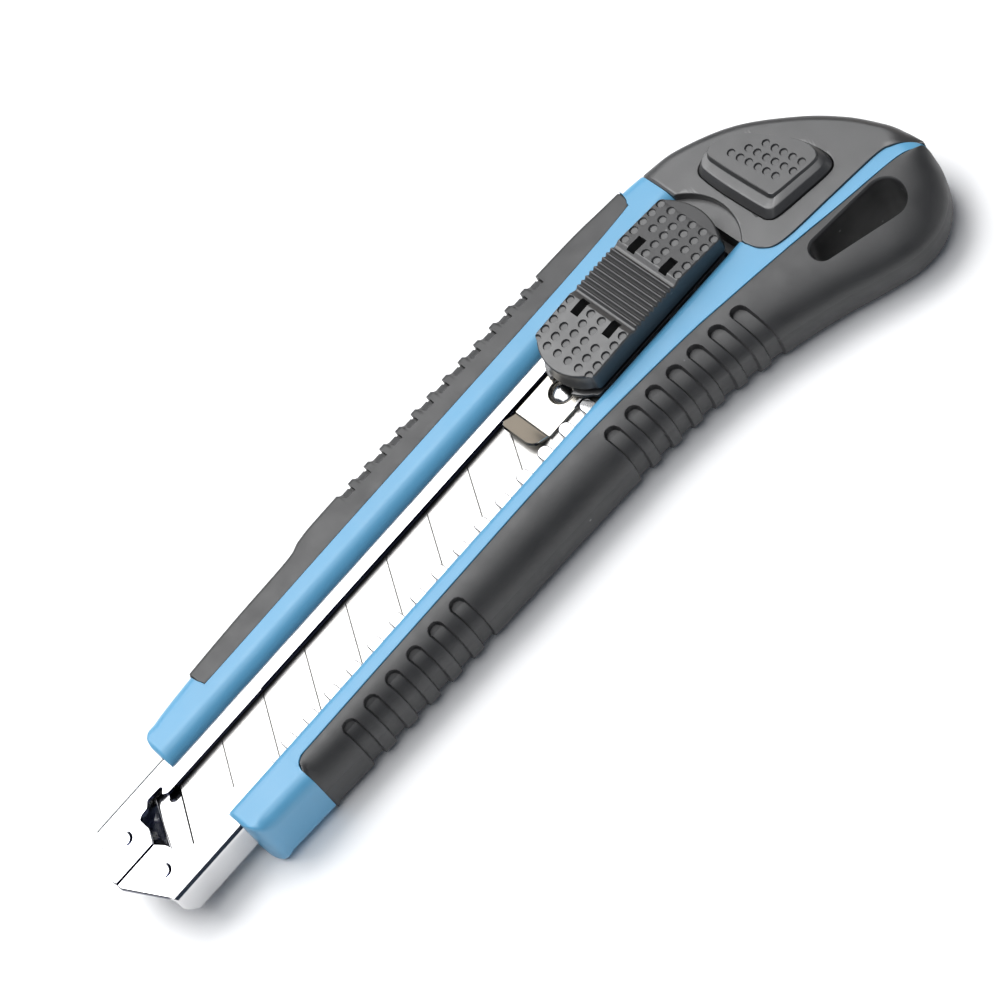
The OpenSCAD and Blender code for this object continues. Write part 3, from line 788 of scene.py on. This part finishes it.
def body_main():
    rings = []
    for s in body_stations():
        on_belly = s >= BELLY_SEAM[0][0]
        on_spine = SPINE_SEAM[0][0] <= s <= SPINE_SEAM[-1][0]
        belly = y_on(belly_seam if on_belly else belly_rim, s)
        spine = y_on(spine_seam if on_spine else spine_rim, s)
        broad = ease((s - FRONT_X) / 3.5)  # the front end's edges are rounded less
        free, seam = 0.8 + 1.9 * broad, 0.2  # rounding of a free edge, and beside a grip
        low_round = 0.3 if on_belly and on_spine else 1.0 + 2.4 * broad
        rings.append(body_section(s, belly, spine, seam if on_belly else free, seam if on_spine else free,
                                  round_off(s - FRONT_X, 0.9), low_round))
    return loft("handle_body_plastic", rings)


def stripe():
    """The thin arm of the body that runs back between the belly grip and the tail cap."""
    start = CAP_X - 2.7
    upper = np.vstack([[(start, -9.4)], resample(cap_seam, 0.1)])
    lower = resample(part_of(belly_seam, start, 176.4), 0.1)
    reach = lengths(lower)[-1]
    shares = np.linspace(0, 1, 90)
    end_round, edge = 4.0, 0.16
    rings = []
    for f, a, b in zip(shares, at_shares(lower, shares), at_shares(upper, shares)):
        width, out = towards(a, b)
        fall = round_off((1 - f) * reach, end_round) / end_round
        top, low = RAIL_TOP - 2.2 * fall, UNDERSIDE + 2.8 * fall
        loop = [(0, low), (0, top - edge), (0.3 * edge, top - 0.3 * edge), (edge, top), (width - edge, top),
                (width - 0.3 * edge, top - 0.3 * edge), (width, top - edge), (width, low)]
        rings.append([(*(a + out * w), z) for w, z in loop])
    return loft("stripe", rings)


def blue_body():
    body = combine(body_main(), [stripe()], "UNION")
    return dress(body, "handle", "blue_plastic", ["handle_body"], 30)


# ---- tail cap and button
RECESS_R, RECESS_FLOOR = 11.2, 1.15
RECESS_AT = (CAP_X + 3.3 - RECESS_R, -0.6)
BUTTON_BASE = [
    (150.9, 4.6), (150.7, 0), (150.9, -8.0), (151.3, -9.9), (152.7, -10.9), (158, -11.8), (163.2, -12.5),
    (165, -11.9), (165.7, -10), (165.5, -6.5), (164.1, -1.8), (161.4, 3.8), (158.5, 6.9), (156, 7.9),
    (153, 7.5), (151.4, 6.6),
]
# Each point faces the one above. The number is how much of a ledge the side has there.
BUTTON_PAD = [
    (153.9, 4.4, 1), (153.9, 0, 1), (154.1, -6.6, 1), (154.3, -8.3, 0.8), (155.2, -8.9, 0.1),
    (159, -9.6, 0), (162.7, -10.2, 0), (164.1, -9.9, 0), (164.8, -8.4, 0), (164.7, -5.9, 0),
    (163.4, -1.9, 0), (160.8, 3.2, 0), (158.3, 6, 0), (156.3, 6.9, 0.1), (154.6, 6.7, 0.6), (154, 5.9, 0.9),
]
BUTTON_LEDGE = CAP_TOP + 1.25
BUTTON_TOP = top_of("cap_button")


def cap_section(seam, rim, edge, shrink, drop):
    """The cap's section from its seam, over the flat top and round the outer side to the underside."""
    width, out = towards(seam, rim)
    lip = 0.2
    top = CAP_TOP - shrink - drop
    width = width - shrink
    reach = min(edge, 0.8 * (width - lip))
    arc = np.radians(np.linspace(0, 90, 12))
    pts = [(0.0, UNDERSIDE + 0.3), (0.0, top - lip), (0.3 * lip, top - 0.3 * lip), (lip, top)]
    pts += [(lip + (width - reach - lip) * f, top) for f in (0.25, 0.5, 0.75)]
    pts += [(width - reach * (1 - math.sin(a)), top - 0.9 * reach * (1 - math.cos(a))) for a in arc]
    low = min(3.0, 0.8 * width)
    pts += [(width - low * (1 - math.cos(a)), UNDERSIDE + low * (1 - math.sin(a))) for a in arc]
    pts += [(0.3, UNDERSIDE)]
    w, z = np.array(pts).T
    return np.column_stack([seam + w[:, None] * out, z])


def tail_cap():
    seam_line = resample(cap_seam, 0.1)
    first = int(np.argmax(spine_rim[:, 0] > CAP_X))
    a, b = spine_rim[first - 1], spine_rim[first]
    rim_line = np.vstack([a + (b - a) * (CAP_X - a[0]) / (b[0] - a[0]), spine_rim[first:]])
    rim_line = rim_line[rim_line[:, 1] > -21]
    shares = np.linspace(0, 1, 90) ** 1.05
    rings = []
    for seam, rim, at in zip(at_shares(seam_line, shares), at_shares(rim_line, shares), shares):
        edge = 2.3 + 1.1 * ease(1 - at * 8)  # rounder at the front
        shrink = 0.25 * (1 - ease(at * 80 + 0.02)) ** 2
        drop = 1.5 * ease((at - 0.84) / 0.16) ** 1.5
        rings.append(cap_section(seam, rim, edge, shrink, drop))
    cap = loft("tail_cap_plastic", rings)
    recess = cutter("recess", circle(*RECESS_AT, RECESS_R, 120), RECESS_FLOOR, CAP_TOP, 0.35)
    base = smooth(BUTTON_BASE, 6, closed=True)
    pocket = cutter("pocket", base - normals(base) * 0.12, UNDERSIDE + 1.6, CAP_TOP, 0.25)
    floor = CHANNEL_LOW + SHEET
    tongue = box_cutter((CHANNEL_END - 8.2, -6, floor + 1.3), (CAP_X + 1, 6, floor + 3.6))
    combine(cap, [recess, pocket])
    combine(cap, [tongue], "UNION")
    return dress(cap, "tail", "black_plastic", ["tail_cap"], 30)


def dimples(spots, r, depth, top):
    """Cutters for round dimples with a slightly flared rim. top gives the height at each spot."""
    profile = [(r * 0.86, -depth), (r, -depth * 0.72), (r, -0.1), (r + 0.09, 0.01), (r + 0.3, 0.4)]
    return join([loft("dimple", [ring_at(circle(x, y, radius, 28), top(x, y) + rise)
                                 for radius, rise in profile]) for x, y in spots])


def cap_button():
    base = smooth(BUTTON_BASE, 6, closed=True)
    pad = smooth(BUTTON_PAD, 6, closed=True)
    ledge = np.clip(pad[:, 2], 0, 1)
    pad = pad[:, :2]
    # Share of the way from base to pad, then the height where there is a ledge and where there isn't.
    steps = [
        (-0.02, CAP_TOP - 2.4, CAP_TOP - 2.4), (0, CAP_TOP - 0.1, CAP_TOP + 0.35),
        (0.30, BUTTON_LEDGE - 0.2, CAP_TOP + 1.25), (0.35, BUTTON_LEDGE - 0.06, CAP_TOP + 1.35),
        (0.42, BUTTON_LEDGE, CAP_TOP + 1.5), (0.88, BUTTON_LEDGE + 0.02, BUTTON_TOP - 0.5),
        (0.92, BUTTON_LEDGE + 0.12, BUTTON_TOP - 0.36), (0.98, BUTTON_TOP - 0.25, BUTTON_TOP - 0.12),
        (1.0, BUTTON_TOP - 0.1, BUTTON_TOP - 0.06), (1.05, BUTTON_TOP, BUTTON_TOP),
    ]
    button = loft("cap_button_plastic", [ring_at(base + (pad - base) * f, on * ledge + off * (1 - ledge))
                                         for f, on, off in steps])
    # Each row of dots: its y, its first column and the one past its last.
    rows = [(2.9, 0, 1), (0.95, 0, 2), (-0.95, 0, 3), (-2.9, 0, 3), (-4.75, 0, 3), (-6.7, 0, 3),
            (-8.65, 1, 3)]
    spots = [(156.55 + 0.16 * r + 2.14 * c, y) for r, (y, c0, c1) in enumerate(rows) for c in range(c0, c1)]
    combine(button, [dimples(spots, 0.66, 0.32, lambda x, y: BUTTON_TOP)])
    return dress(button, "cap_button", "button_plastic", ["cap_button"], 30)


# ---- thumb slider
SLIDER_X = (station_of("thumb_slider", 0), station_of("thumb_slider", 1))
SLIDER_HALF = 7.15
SLIDER_LOW = bottom_of("thumb_slider")
RIBS = (122.6, 131.9)
RIB_COUNT = 9
# Height of the slider's top at stations along it.
SLIDER_RISE = [(109, 5.75), (112, 6.0), (121.3, 6.45), (122.2, 5.95), (132.3, 5.95), (133.2, 6.45),
               (143, 5.45), (146, 5.1)]
DOT_ROW = 2.5  # distance between rows of dots
BOWS = (2.5, 1.9)  # how far the front and rear ends bow out


def slider_top(x, y=0.0):
    """Height of the slider's top, with the ribs in its middle."""
    z = np.interp(x, *np.transpose(SLIDER_RISE))
    pitch = (RIBS[1] - RIBS[0]) / RIB_COUNT
    inside = (x > RIBS[0]) & (x < RIBS[1])
    wave = 0.5 - 0.5 * np.cos(2 * math.pi * (x - RIBS[0]) / pitch)
    return z + np.where(inside, 0.58 * wave ** 0.8, 0.0)


def bowed_plan(front, back, half, step):
    """Clockwise plan with straight sides and bowed ends, from the middle of its front.

    Its points are mirrored in pairs about y = 0."""
    corner = 1.0
    inset = corner * 0.9

    def bow(bulge, reach):
        r = (reach ** 2 + bulge ** 2) / (2 * bulge)
        a = np.linspace(0, math.asin(reach / r), 14)
        return np.column_stack([r * (1 - np.cos(a)), r * np.sin(a)])

    nose = bow(BOWS[0], half - inset) + (front, 0)
    tail = bow(BOWS[1], half - inset)
    tail = np.column_stack([back - tail[:, 0], tail[:, 1]])[::-1]
    x0, x1 = nose[-1, 0] + corner, tail[0, 0] - corner
    c = np.linspace(0.15, 1, 6)[:, None]
    first = bend(nose[-1], (nose[-1, 0] + 0.25, half), np.array([x0, half]), c)
    last = bend(np.array([x1, half]), (tail[0, 0] - 0.25, half), tail[0], c)[:-1]
    xs = np.arange(x0 + step, x1 - step / 2, step)
    side = np.column_stack([xs, np.full(len(xs), half)])
    upper = np.vstack([nose, first, side, last, tail])
    ring = np.vstack([upper, (upper[1:-1] * (1, -1))[::-1]])
    return np.roll(ring[::-1], 1, 0)


def slider_dots(first, pitch):
    """Dot places on one end of the slider. The second and fifth rows are short, to miss the slots."""
    columns = (5, 3, 5, 5, 3, 5)
    return [(first + pitch * c, DOT_ROW * (r - 2.5)) for r in range(6) for c in range(columns[r])]


def thumb_slider():
    plan = bowed_plan(*SLIDER_X, SLIDER_HALF, 0.115)
    inward = normals(plan)
    ahead = ease((SLIDER_X[0] + 4.5 - plan[:, 0]) / 4)[:, None] * (-1, 0)
    rings = [ring_at(plan + inward * 0.25, SLIDER_LOW), ring_at(plan + ahead * 0.25, SLIDER_LOW + 0.12)]
    rings += [ring_at(plan + ahead * reach, SLIDER_LOW + rise)
              for rise, reach in ((0.4, 0.3), (1.2, 0.12), (2.2, -0.06), (3.0, -0.02))]
    radius = 0.32
    for a in np.radians([0, 30, 55, 75, 90]):
        shape = plan + inward * radius * (1 - math.cos(a))
        shape[:, 0] = np.clip(shape[:, 0], SLIDER_X[0] + 0.02, SLIDER_X[1] - 0.02)
        rings.append(ring_at(shape, slider_top(plan[:, 0]) - radius * (1 - math.sin(a))))
    slider = loft("thumb_slider_plastic", rings, mirrored_caps=True)
    dots = slider_dots(111.9, 2.12) + slider_dots(142.6, -2.14)
    combine(slider, [dimples(dots, 0.72, 0.34, slider_top)])
    slots = [box_cutter((x - 1.6, y - 0.88, 3.4), (x + 1.6, y + 0.88, 9))
             for x in (120.3, 134.3) for y in (-3.75, 3.75)]
    # The pocket makes room for the spring's leaf when the slider is pressed down.
    pocket = box_cutter((130, -3.3, SLIDER_LOW - 0.5), (141, 3.3, SLIDER_LOW + 0.2))
    combine(slider, [join(slots), pocket])
    return dress(slider, "thumb_slider", "slider_plastic", ["thumb_slider"], 32)


def slider_base():
    low, high = 0.15, top_of("slider_base")
    plan = bowed_plan(108.4, 145.1, 6.9, 1.0)
    inward = normals(plan)
    rings = [ring_at(plan, low), ring_at(plan, high - 0.2), ring_at(plan + inward * 0.06, high - 0.06),
             ring_at(plan + inward * 0.2, high)]
    base = loft("slider_base_plastic", rings, mirrored_caps=True)
    combine(base, [box_cutter((112, -3.7, bottom_of("slider_base")), (142, 4.1, low + 0.1))], "UNION")
    combine(base, [cutter("hole", circle(STUD_X, 0, 2.6, 48), -1, high, 0.15)])
    return dress(base, "carriage", "slider_plastic", ["slider_base"], 30)


# ---- blade carrier
STUD_X = (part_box("carrier_stud")[0].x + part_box("carrier_stud")[1].x) / 2 / MM - STATION_0
STRAP_TOP = -0.55
STRAP_LOW = bottom_of("carrier_strap")


def carrier_strap():
    """Bent sheet: its front end turns up into a round-cornered tab."""
    flat = -0.9
    path = smooth([(97.75, 0.68), (98.1, 0.52), (99.4, -0.12), (100.5, -0.66), (101.05, -0.86),
                   (101.6, flat), (103, flat)], 5)
    path = np.vstack([path, [(143, flat)]])
    up = left_of(path)
    t = (STRAP_TOP - STRAP_LOW) / 2 - 0.02  # half the sheet's thickness
    path[:, 1] += (STRAP_TOP + STRAP_LOW) / 2 - flat
    rings = []
    for p, n, at in zip(path, up, lengths(path)):
        belly = -3.9 + round_off(at, 1.6)
        spine = 3.9 - round_off(at, 1.1)
        if p[0] > 101.2:
            belly, spine = -4.2, 4.2
        e = 0.1
        loop = [(belly + e, t), (0, t), (spine - e, t), (spine, t - e), (spine, e - t), (spine - e, -t),
                (0, -t), (belly + e, -t), (belly, e - t), (belly, t - e)]
        rings.append([(p[0] + n[0] * h, y, p[1] + n[1] * h) for y, h in loop])
    strap = loft("carrier_strap_steel", rings)
    combine(strap, [cutter("hole", circle(STUD_X, 0, 2.42, 48), -3, STRAP_TOP, 0.08)])
    return dress(strap, "carriage", "carrier_steel", ["carrier_strap"], 30)


def carrier_stud():
    """Turned stud with a domed head."""
    low = bottom_of("carrier_stud")
    high = top_of("carrier_stud")
    r, rise = 2.2, 1.25
    dome = [(r * math.cos(a), high - rise + rise * math.sin(a)) for a in np.radians(np.linspace(0, 90, 10))]
    profile = [(0.0, low), (r - 0.2, low), (r, low + 0.15), (r, low + 0.6)] + dome
    rings = [ring_at(circle(STUD_X, 0, max(radius, 0.02), 48), z) for radius, z in profile]
    return dress(loft("carrier_stud_steel", rings), "carriage", "pin_steel", ["carrier_stud"], 40)


# ---- blade channel
TOOTH_PITCH = 5.21
TOOTH_X = [36 + TOOTH_PITCH * i for i in range(20)]
TOOTH_R = 1.26
TOOTH_TOP = -4.5  # y of the teeth's round ends
TOOTH_FOOT = -7.55  # y of the gaps' closed ends
LIP_GAP = 4.55  # y of the spine-side lip's edge
WINDOW_END = 31.7  # station of the window's rear edge, beside the teeth
BELOW_LIPS = -SHEET - 0.4  # how deep the cuts through the lips go
NOSE_BUMPS = [(6.9, 4.8), (7.2, -4.9)]


def rounded_box(half, low, high, r, steps):
    """Section of a box with rounded corners, as points (y, z)."""
    pts = []
    for y, z, start in ((half, high, 0), (-half, high, 90), (-half, low, 180), (half, low, 270)):
        side_y, side_z = math.copysign(1, y), 1 if z == high else -1
        for a in np.radians(np.linspace(start, start + 90, steps)):
            pts.append((y - side_y * r + r * math.cos(a), z - side_z * r + r * math.sin(a)))
    return pts


def drawn(name, section, stations):
    """A section drawn along the knife."""
    return loft(name, [at_station(x, section) for x in stations])


def rounded_plan(points, r, n=5):
    """A plan polygon whose corners are rounded by up to r."""
    p = np.asarray(points, float)
    out = []
    for i in range(len(p)):
        a, b, c = p[i - 1], p[i], p[(i + 1) % len(p)]
        u, v = a - b, c - b
        lu, lv = np.linalg.norm(u), np.linalg.norm(v)
        reach = min(r, 0.45 * lu, 0.45 * lv)
        start, end = b + u / lu * reach, b + v / lv * reach
        out.append(bend(start, b, end, np.linspace(0, 1, n)[:, None]))
    return np.vstack(out)


def window_plan():
    """Outline of the opening behind the nose, with its small notches and the first tooth's hook."""
    land = TOOTH_TOP + 0.2
    return rounded_plan([
        (9.1, 0), (10.6, 2.6), (10.7, 5.05), (11.5, 5.5), (12.9, 5.6), (13.9, 6.6), (16.9, 6.5), (17.1, 6.0),
        (16.2, 5.2), (16.9, LIP_GAP + 0.1), (17.4, LIP_GAP), (40, LIP_GAP), (40, TOOTH_TOP),
        (WINDOW_END, TOOTH_TOP), (WINDOW_END, -6.4), (31.4, -5.3), (30.5, -4.55), (29.4, land), (17.2, land),
        (17.0, -6.2), (16.6, -6.4), (16.0, -6.2), (15.9, -5.2), (14.2, -6.1), (12.9, -5.5), (10.9, -5.4),
        (10.5, -5.1), (10.6, -2.8), (10.3, -1.8),
    ], 0.3)


def tooth_gap_plans():
    """The gaps between the round teeth, as plan outlines."""
    angles = np.radians(np.linspace(90, 0, 8))
    arc = [(TOOTH_R * math.cos(a), TOOTH_R * math.sin(a) - TOOTH_R) for a in angles]
    edges = [WINDOW_END + 0.02] + TOOTH_X + [TOOTH_X[-1] + TOOTH_PITCH]
    over = TOOTH_TOP + 0.5
    plans = []
    for left, right in zip(edges, edges[1:]):
        down, up, end = [(left, TOOTH_TOP)], [], right - TOOTH_R
        if left in TOOTH_X:
            down = [(left + x, TOOTH_TOP + y) for x, y in arc]
        if right in TOOTH_X:
            up = [(right - x, TOOTH_TOP + y) for x, y in arc[::-1]]
            end = right
        foot = [(down[-1][0], TOOTH_FOOT), (right - TOOTH_R, TOOTH_FOOT)]
        plans.append(np.array(down + foot + up + [(end, over), (left, over)]))
    return plans


def nose_bump(x, y):
    """A shallow dome pressed up in the nose's sheet, steeper on its rear and belly side."""
    r, rise, shift_x, shift_y = 1.4, 0.26, 0.37, -0.5
    rings = [ring_at(circle(x, y, r, 32), -0.3)]
    for t in np.linspace(0, 1, 9):
        plan = circle(x + shift_x * r * t, y + shift_y * r * t, max(0.02, r * (1 - t)), 32)
        rings.append(ring_at(plan, rise * math.sin(t * math.pi / 2)))
    return loft("bump", rings)


def nose_outline():
    """What the pointed nose's plan keeps of the channel, with a rounded upper edge."""
    side = CHANNEL_HALF + 0.1
    beyond = 200
    plan = rounded_plan([(0.62, 0), (0.38, 0.9), (5.2, side), (beyond, side), (beyond, -side), (5.2, -side),
                         (0.38, -0.9)], 0.7)
    inward = into(plan) * LIP_EDGE
    rings = [ring_at(plan, -12)]
    rings += [ring_at(plan + inward * (1 - math.cos(a)), LIP_EDGE * (math.sin(a) - 1)) for a in FLARE_ANGLES]
    rings.append(ring_at(plan + inward * 1.6, 3))
    return loft("nose", rings)


def lip_cutters():
    """What is open between the lips: seam, window, gap, and the spaces between the round teeth."""
    teeth = [cutter("teeth", p, BELOW_LIPS, 0.0, LIP_EDGE) for p in tooth_gap_plans()]
    gap = rectangle(39.5, TOOTH_TOP, CHANNEL_END + 2, LIP_GAP)
    return [cutter("seam", rectangle(-1, -0.07, 9.3, 0.07), BELOW_LIPS, 0.0, LIP_EDGE),
            cutter("window", window_plan(), BELOW_LIPS, 0.4),
            cutter("gap", gap, BELOW_LIPS, 0.0, LIP_EDGE),
            join(teeth[::2]),
            join(teeth[1::2])]


def blade_channel():
    inside = CHANNEL_HALF - SHEET
    floor = CHANNEL_LOW + SHEET
    outer = rounded_box(CHANNEL_HALF, CHANNEL_LOW, 0, BEND, 7)
    inner = rounded_box(inside, floor, -SHEET, 0.5, 4)
    body = drawn("blade_channel_steel", outer, (0.0, 9.0, CHANNEL_END))
    combine(body, [nose_outline()], "INTERSECT")
    combine(body, [drawn("inner", inner, (-2, CHANNEL_END + 2))])
    front_floor = box_cutter((-1, -inside, CHANNEL_LOW - 1), (9, inside, floor + 0.1))
    combine(body, lip_cutters() + [front_floor])
    under_slider = box_cutter((142.4, -7.6, -SHEET - 0.2), (CHANNEL_END + 2, 4, 0.4))
    combine(body, [under_slider])
    below = CHANNEL_LOW - 2
    side = [(-1, -2.0), (5.2, -4.4), (7.4, CHANNEL_LOW), (7.4, below), (-1, below)]
    corner = loft("corner", [[(x, y, z) for x, z in side] for y in (-20, 20)])
    combine(body, [corner])
    combine(body, [join([nose_bump(x, y) for x, y in NOSE_BUMPS])], "UNION")
    return dress(body, "handle", "sheet_steel", ["blade_channel"], 24)


# ---- blades
BLADE_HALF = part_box("blade")[1].y / MM
BLADE_SLANT = math.tan(math.radians(30))
SEGMENT = 10.0
SCORE_HALF, SCORE_DEPTH = 0.13, 0.11  # half-width and depth of a score line
GRIND = 1.3  # width of the ground edge


def blade(node, body, slot):
    """A snap-off blade: its sections follow the slant of the score lines."""
    x0, x1 = station_of(node, 0), station_of(node, 1)
    low, high = bottom_of(node), top_of(node)
    middle, blunt, chamfer = (low + high) / 2, 0.015, 0.06
    start = x0 + BLADE_HALF * BLADE_SLANT
    sections = [(start, BLADE_SLANT, 0.0)]
    u = start + SEGMENT
    while u + BLADE_HALF * BLADE_SLANT < x1:
        sections += [(u + side * SCORE_HALF, BLADE_SLANT, depth)
                     for side, depth in ((-1, 0.0), (0, SCORE_DEPTH), (1, 0.0))]
        u += SEGMENT
    sections.append((x1, 0.0, 0.0))  # the rear end is square
    rings = []
    for at, slant, depth in sections:
        face = [(y, high - depth) for y in (-BLADE_HALF + GRIND, -4, 0, 4, BLADE_HALF - chamfer)]
        face.append((BLADE_HALF, high - chamfer - depth))
        back = [(y, low) for y, _ in face[::-1]]
        loop = [(-BLADE_HALF, middle + blunt)] + face + back + [(-BLADE_HALF, middle - blunt)]
        rings.append([(at + y * slant, y, z) for y, z in loop])
    piece = loft(node + "_steel", rings)
    hole = circle(x0 + STUD_X - station_of("blade", 0), 0, 2.5, 40)
    combine(piece, [cutter("hole", hole, low - 1, high + 1)])
    return dress(piece, body, slot, [node], 12)


# ---- small pieces
def softened(node, body, slot, width, angle=40):
    """A frame piece with its sharp edges rounded."""
    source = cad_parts[node]
    mesh = source.data.copy()
    mesh.transform(source.matrix_world)
    obj = add(node + "_soft", mesh)
    tidy(obj)
    soften(obj, width, angle)
    return dress(obj, body, slot, [node], 40)


def sprung(node, body, width, angle):
    """A spring with its sharp edges rounded, on a mesh of its own."""
    piece = softened(node, body, "spring_steel", width, angle)
    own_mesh(piece)
    return piece


def nose_support():
    """The bent strip under the nose: a sloped leg and a flat top, with a slit left in front of the blade."""
    floor, top, sheet = bottom_of("nose_support"), bottom_of("blade") - 0.05, 0.45
    slit = 0.45
    rear = station_of("blade", 0) + BLADE_HALF * BLADE_SLANT - slit
    rings = []
    for y in np.linspace(-6.9, 6.6, 12):
        x_front = 11.65 + 0.497 * y
        x_rear = rear + BLADE_SLANT * y
        x_foot = 10.4 + 0.15 * y
        leg = smooth([(x_foot, floor), (x_foot + 0.1, floor + 0.6), (x_front - 0.5, top - 1.2),
                      (x_front - 0.15, top - 0.25), (x_front + 0.35, top), (x_front + 1.2, top)], 4)
        upper = np.vstack([leg, [(x_rear - 0.1, top), (x_rear, top - 0.1)]])
        under = (leg + (0.55, -sheet))[::-1]
        under = under[under[:, 1] > floor + 0.1]
        profile = np.vstack([upper, [(x_rear, top - sheet)], under, [(x_foot + 0.55, floor)]])
        rings.append(np.column_stack([profile[:, 0], np.full(len(profile), y), profile[:, 1]]))
    return dress(loft("nose_support_steel", rings), "handle", "sheet_steel", ["nose_support"], 30)


# ---- studio
def studio():
    """A sheet of matt white paper under the knife."""
    half = 6.0
    corners = ring_at(rectangle(-half, -half, half, half), 0)
    plane = bpy.data.meshes.new("floor")
    plane.from_pydata(corners.tolist(), [], [(0, 1, 2, 3)])
    floor = add("floor", plane)
    floor.location.z = CAD_BOX[0].z - 0.0005
    mat, tree, shader, where = principled("floor_paper", (0.93, 0.93, 0.93), 0.9, specular=0.1)
    tree.links.new(ramp(tree, noise(tree, where, PAPER, 2), 0.925, 0.935), shader.inputs["Base Color"])
    plane.materials.append(mat)


def panel(name, direction, distance, size, brightness, colour=(1, 1, 1)):
    """A soft light that faces the knife. Its brightness is that of its surface."""
    light = bpy.data.lights.new(name, "AREA")
    light.shape = "RECTANGLE"
    light.size, light.size_y = size
    light.energy = brightness * math.pi * size[0] * size[1]
    light.color = colour
    obj = add(name, light)
    back = Vector(direction).normalized()
    obj.location = back * distance
    obj.rotation_mode = "QUATERNION"
    obj.rotation_quaternion = (-back).to_track_quat("-Z", "Y")
    return obj


def camera():
    """Seen from the belly side and above, rolled so that the knife climbs to the right."""
    azimuth, elevation, roll = (math.radians(v) for v in (-13.715, 55.485, -36.798))
    aim = Vector((-0.000916, -0.005574, LIPS * MM))
    distance = 0.66996
    back = Vector((math.sin(azimuth) * math.cos(elevation), -math.cos(azimuth) * math.cos(elevation),
                   math.sin(elevation)))
    level = Vector((math.cos(azimuth), math.sin(azimuth), 0))
    up = back.cross(level)
    right = math.cos(roll) * level + math.sin(roll) * up
    up = back.cross(right)
    cam = bpy.data.cameras.new("camera")
    cam.lens = 148.57
    cam.sensor_width = 36
    cam.clip_start, cam.clip_end = 0.01, 100
    obj = add("camera", cam)
    turn = Matrix((right, up, back)).transposed().to_4x4()
    obj.matrix_world = Matrix.Translation(aim + back * distance) @ turn
    bpy.context.scene.camera = obj


def light_up():
    """Large soft lights above and behind, and weaker ones that lift the sides."""
    world = bpy.data.worlds.new("studio")
    bpy.context.scene.world = world
    world.use_nodes = True
    ground = world.node_tree.nodes["Background"]
    ground.inputs["Color"].default_value = (0.22, 0.30, 0.46, 1)
    ground.inputs["Strength"].default_value = 0.16
    panel("key", (-0.12, 0.62, 0.86), 1.2, (1.1, 1.2), 3.7)
    panel("top", (-0.15, 0.05, 1.0), 1.3, (1.5, 1.0), 3.2)
    panel("card", (0.8, 0.5, 0.35), 1.0, (0.6, 0.5), 0.8, (1.0, 0.9, 0.78))
    front = panel("front", (-0.5, -1.0, 0.2), 1.6, (1.6, 0.4), 2.3, (0.95, 0.98, 1.0))
    front.visible_glossy = False
    far_card = panel("far card", (0.7, -0.7, 0.3), 1.6, (1.0, 0.5), 1.3)
    far_card.visible_diffuse = False
    bpy.context.scene.view_settings.view_transform = "Standard"


belly_grip()
spine_grip()
blue_body()
tail_cap()
cap_button()
thumb_slider()
slider_base()
carrier_strap()
carrier_stud()
blade_channel()
for node, body in (("blade", "carriage"), ("spare_blade_upper", "tail"), ("spare_blade_lower", "tail")):
    blade(node, body, "blade_steel")
nose_support()
softened("channel_rivets", "handle", "pin_steel", 0.15)
softened("carrier_plate", "carriage", "carrier_steel", 0.10)
sprung("slider_spring", "carriage", 0.05, 40)
softened("lock_leaf", "carriage", "spring_steel", 0.05)
sprung("button_spring", "tail", 0.02, 60)
softened("spare_tray", "tail", "tray_plastic", 0.15)
softened("tray_screws", "tail", "pin_steel", 0.08)
studio()
light_up()
camera()
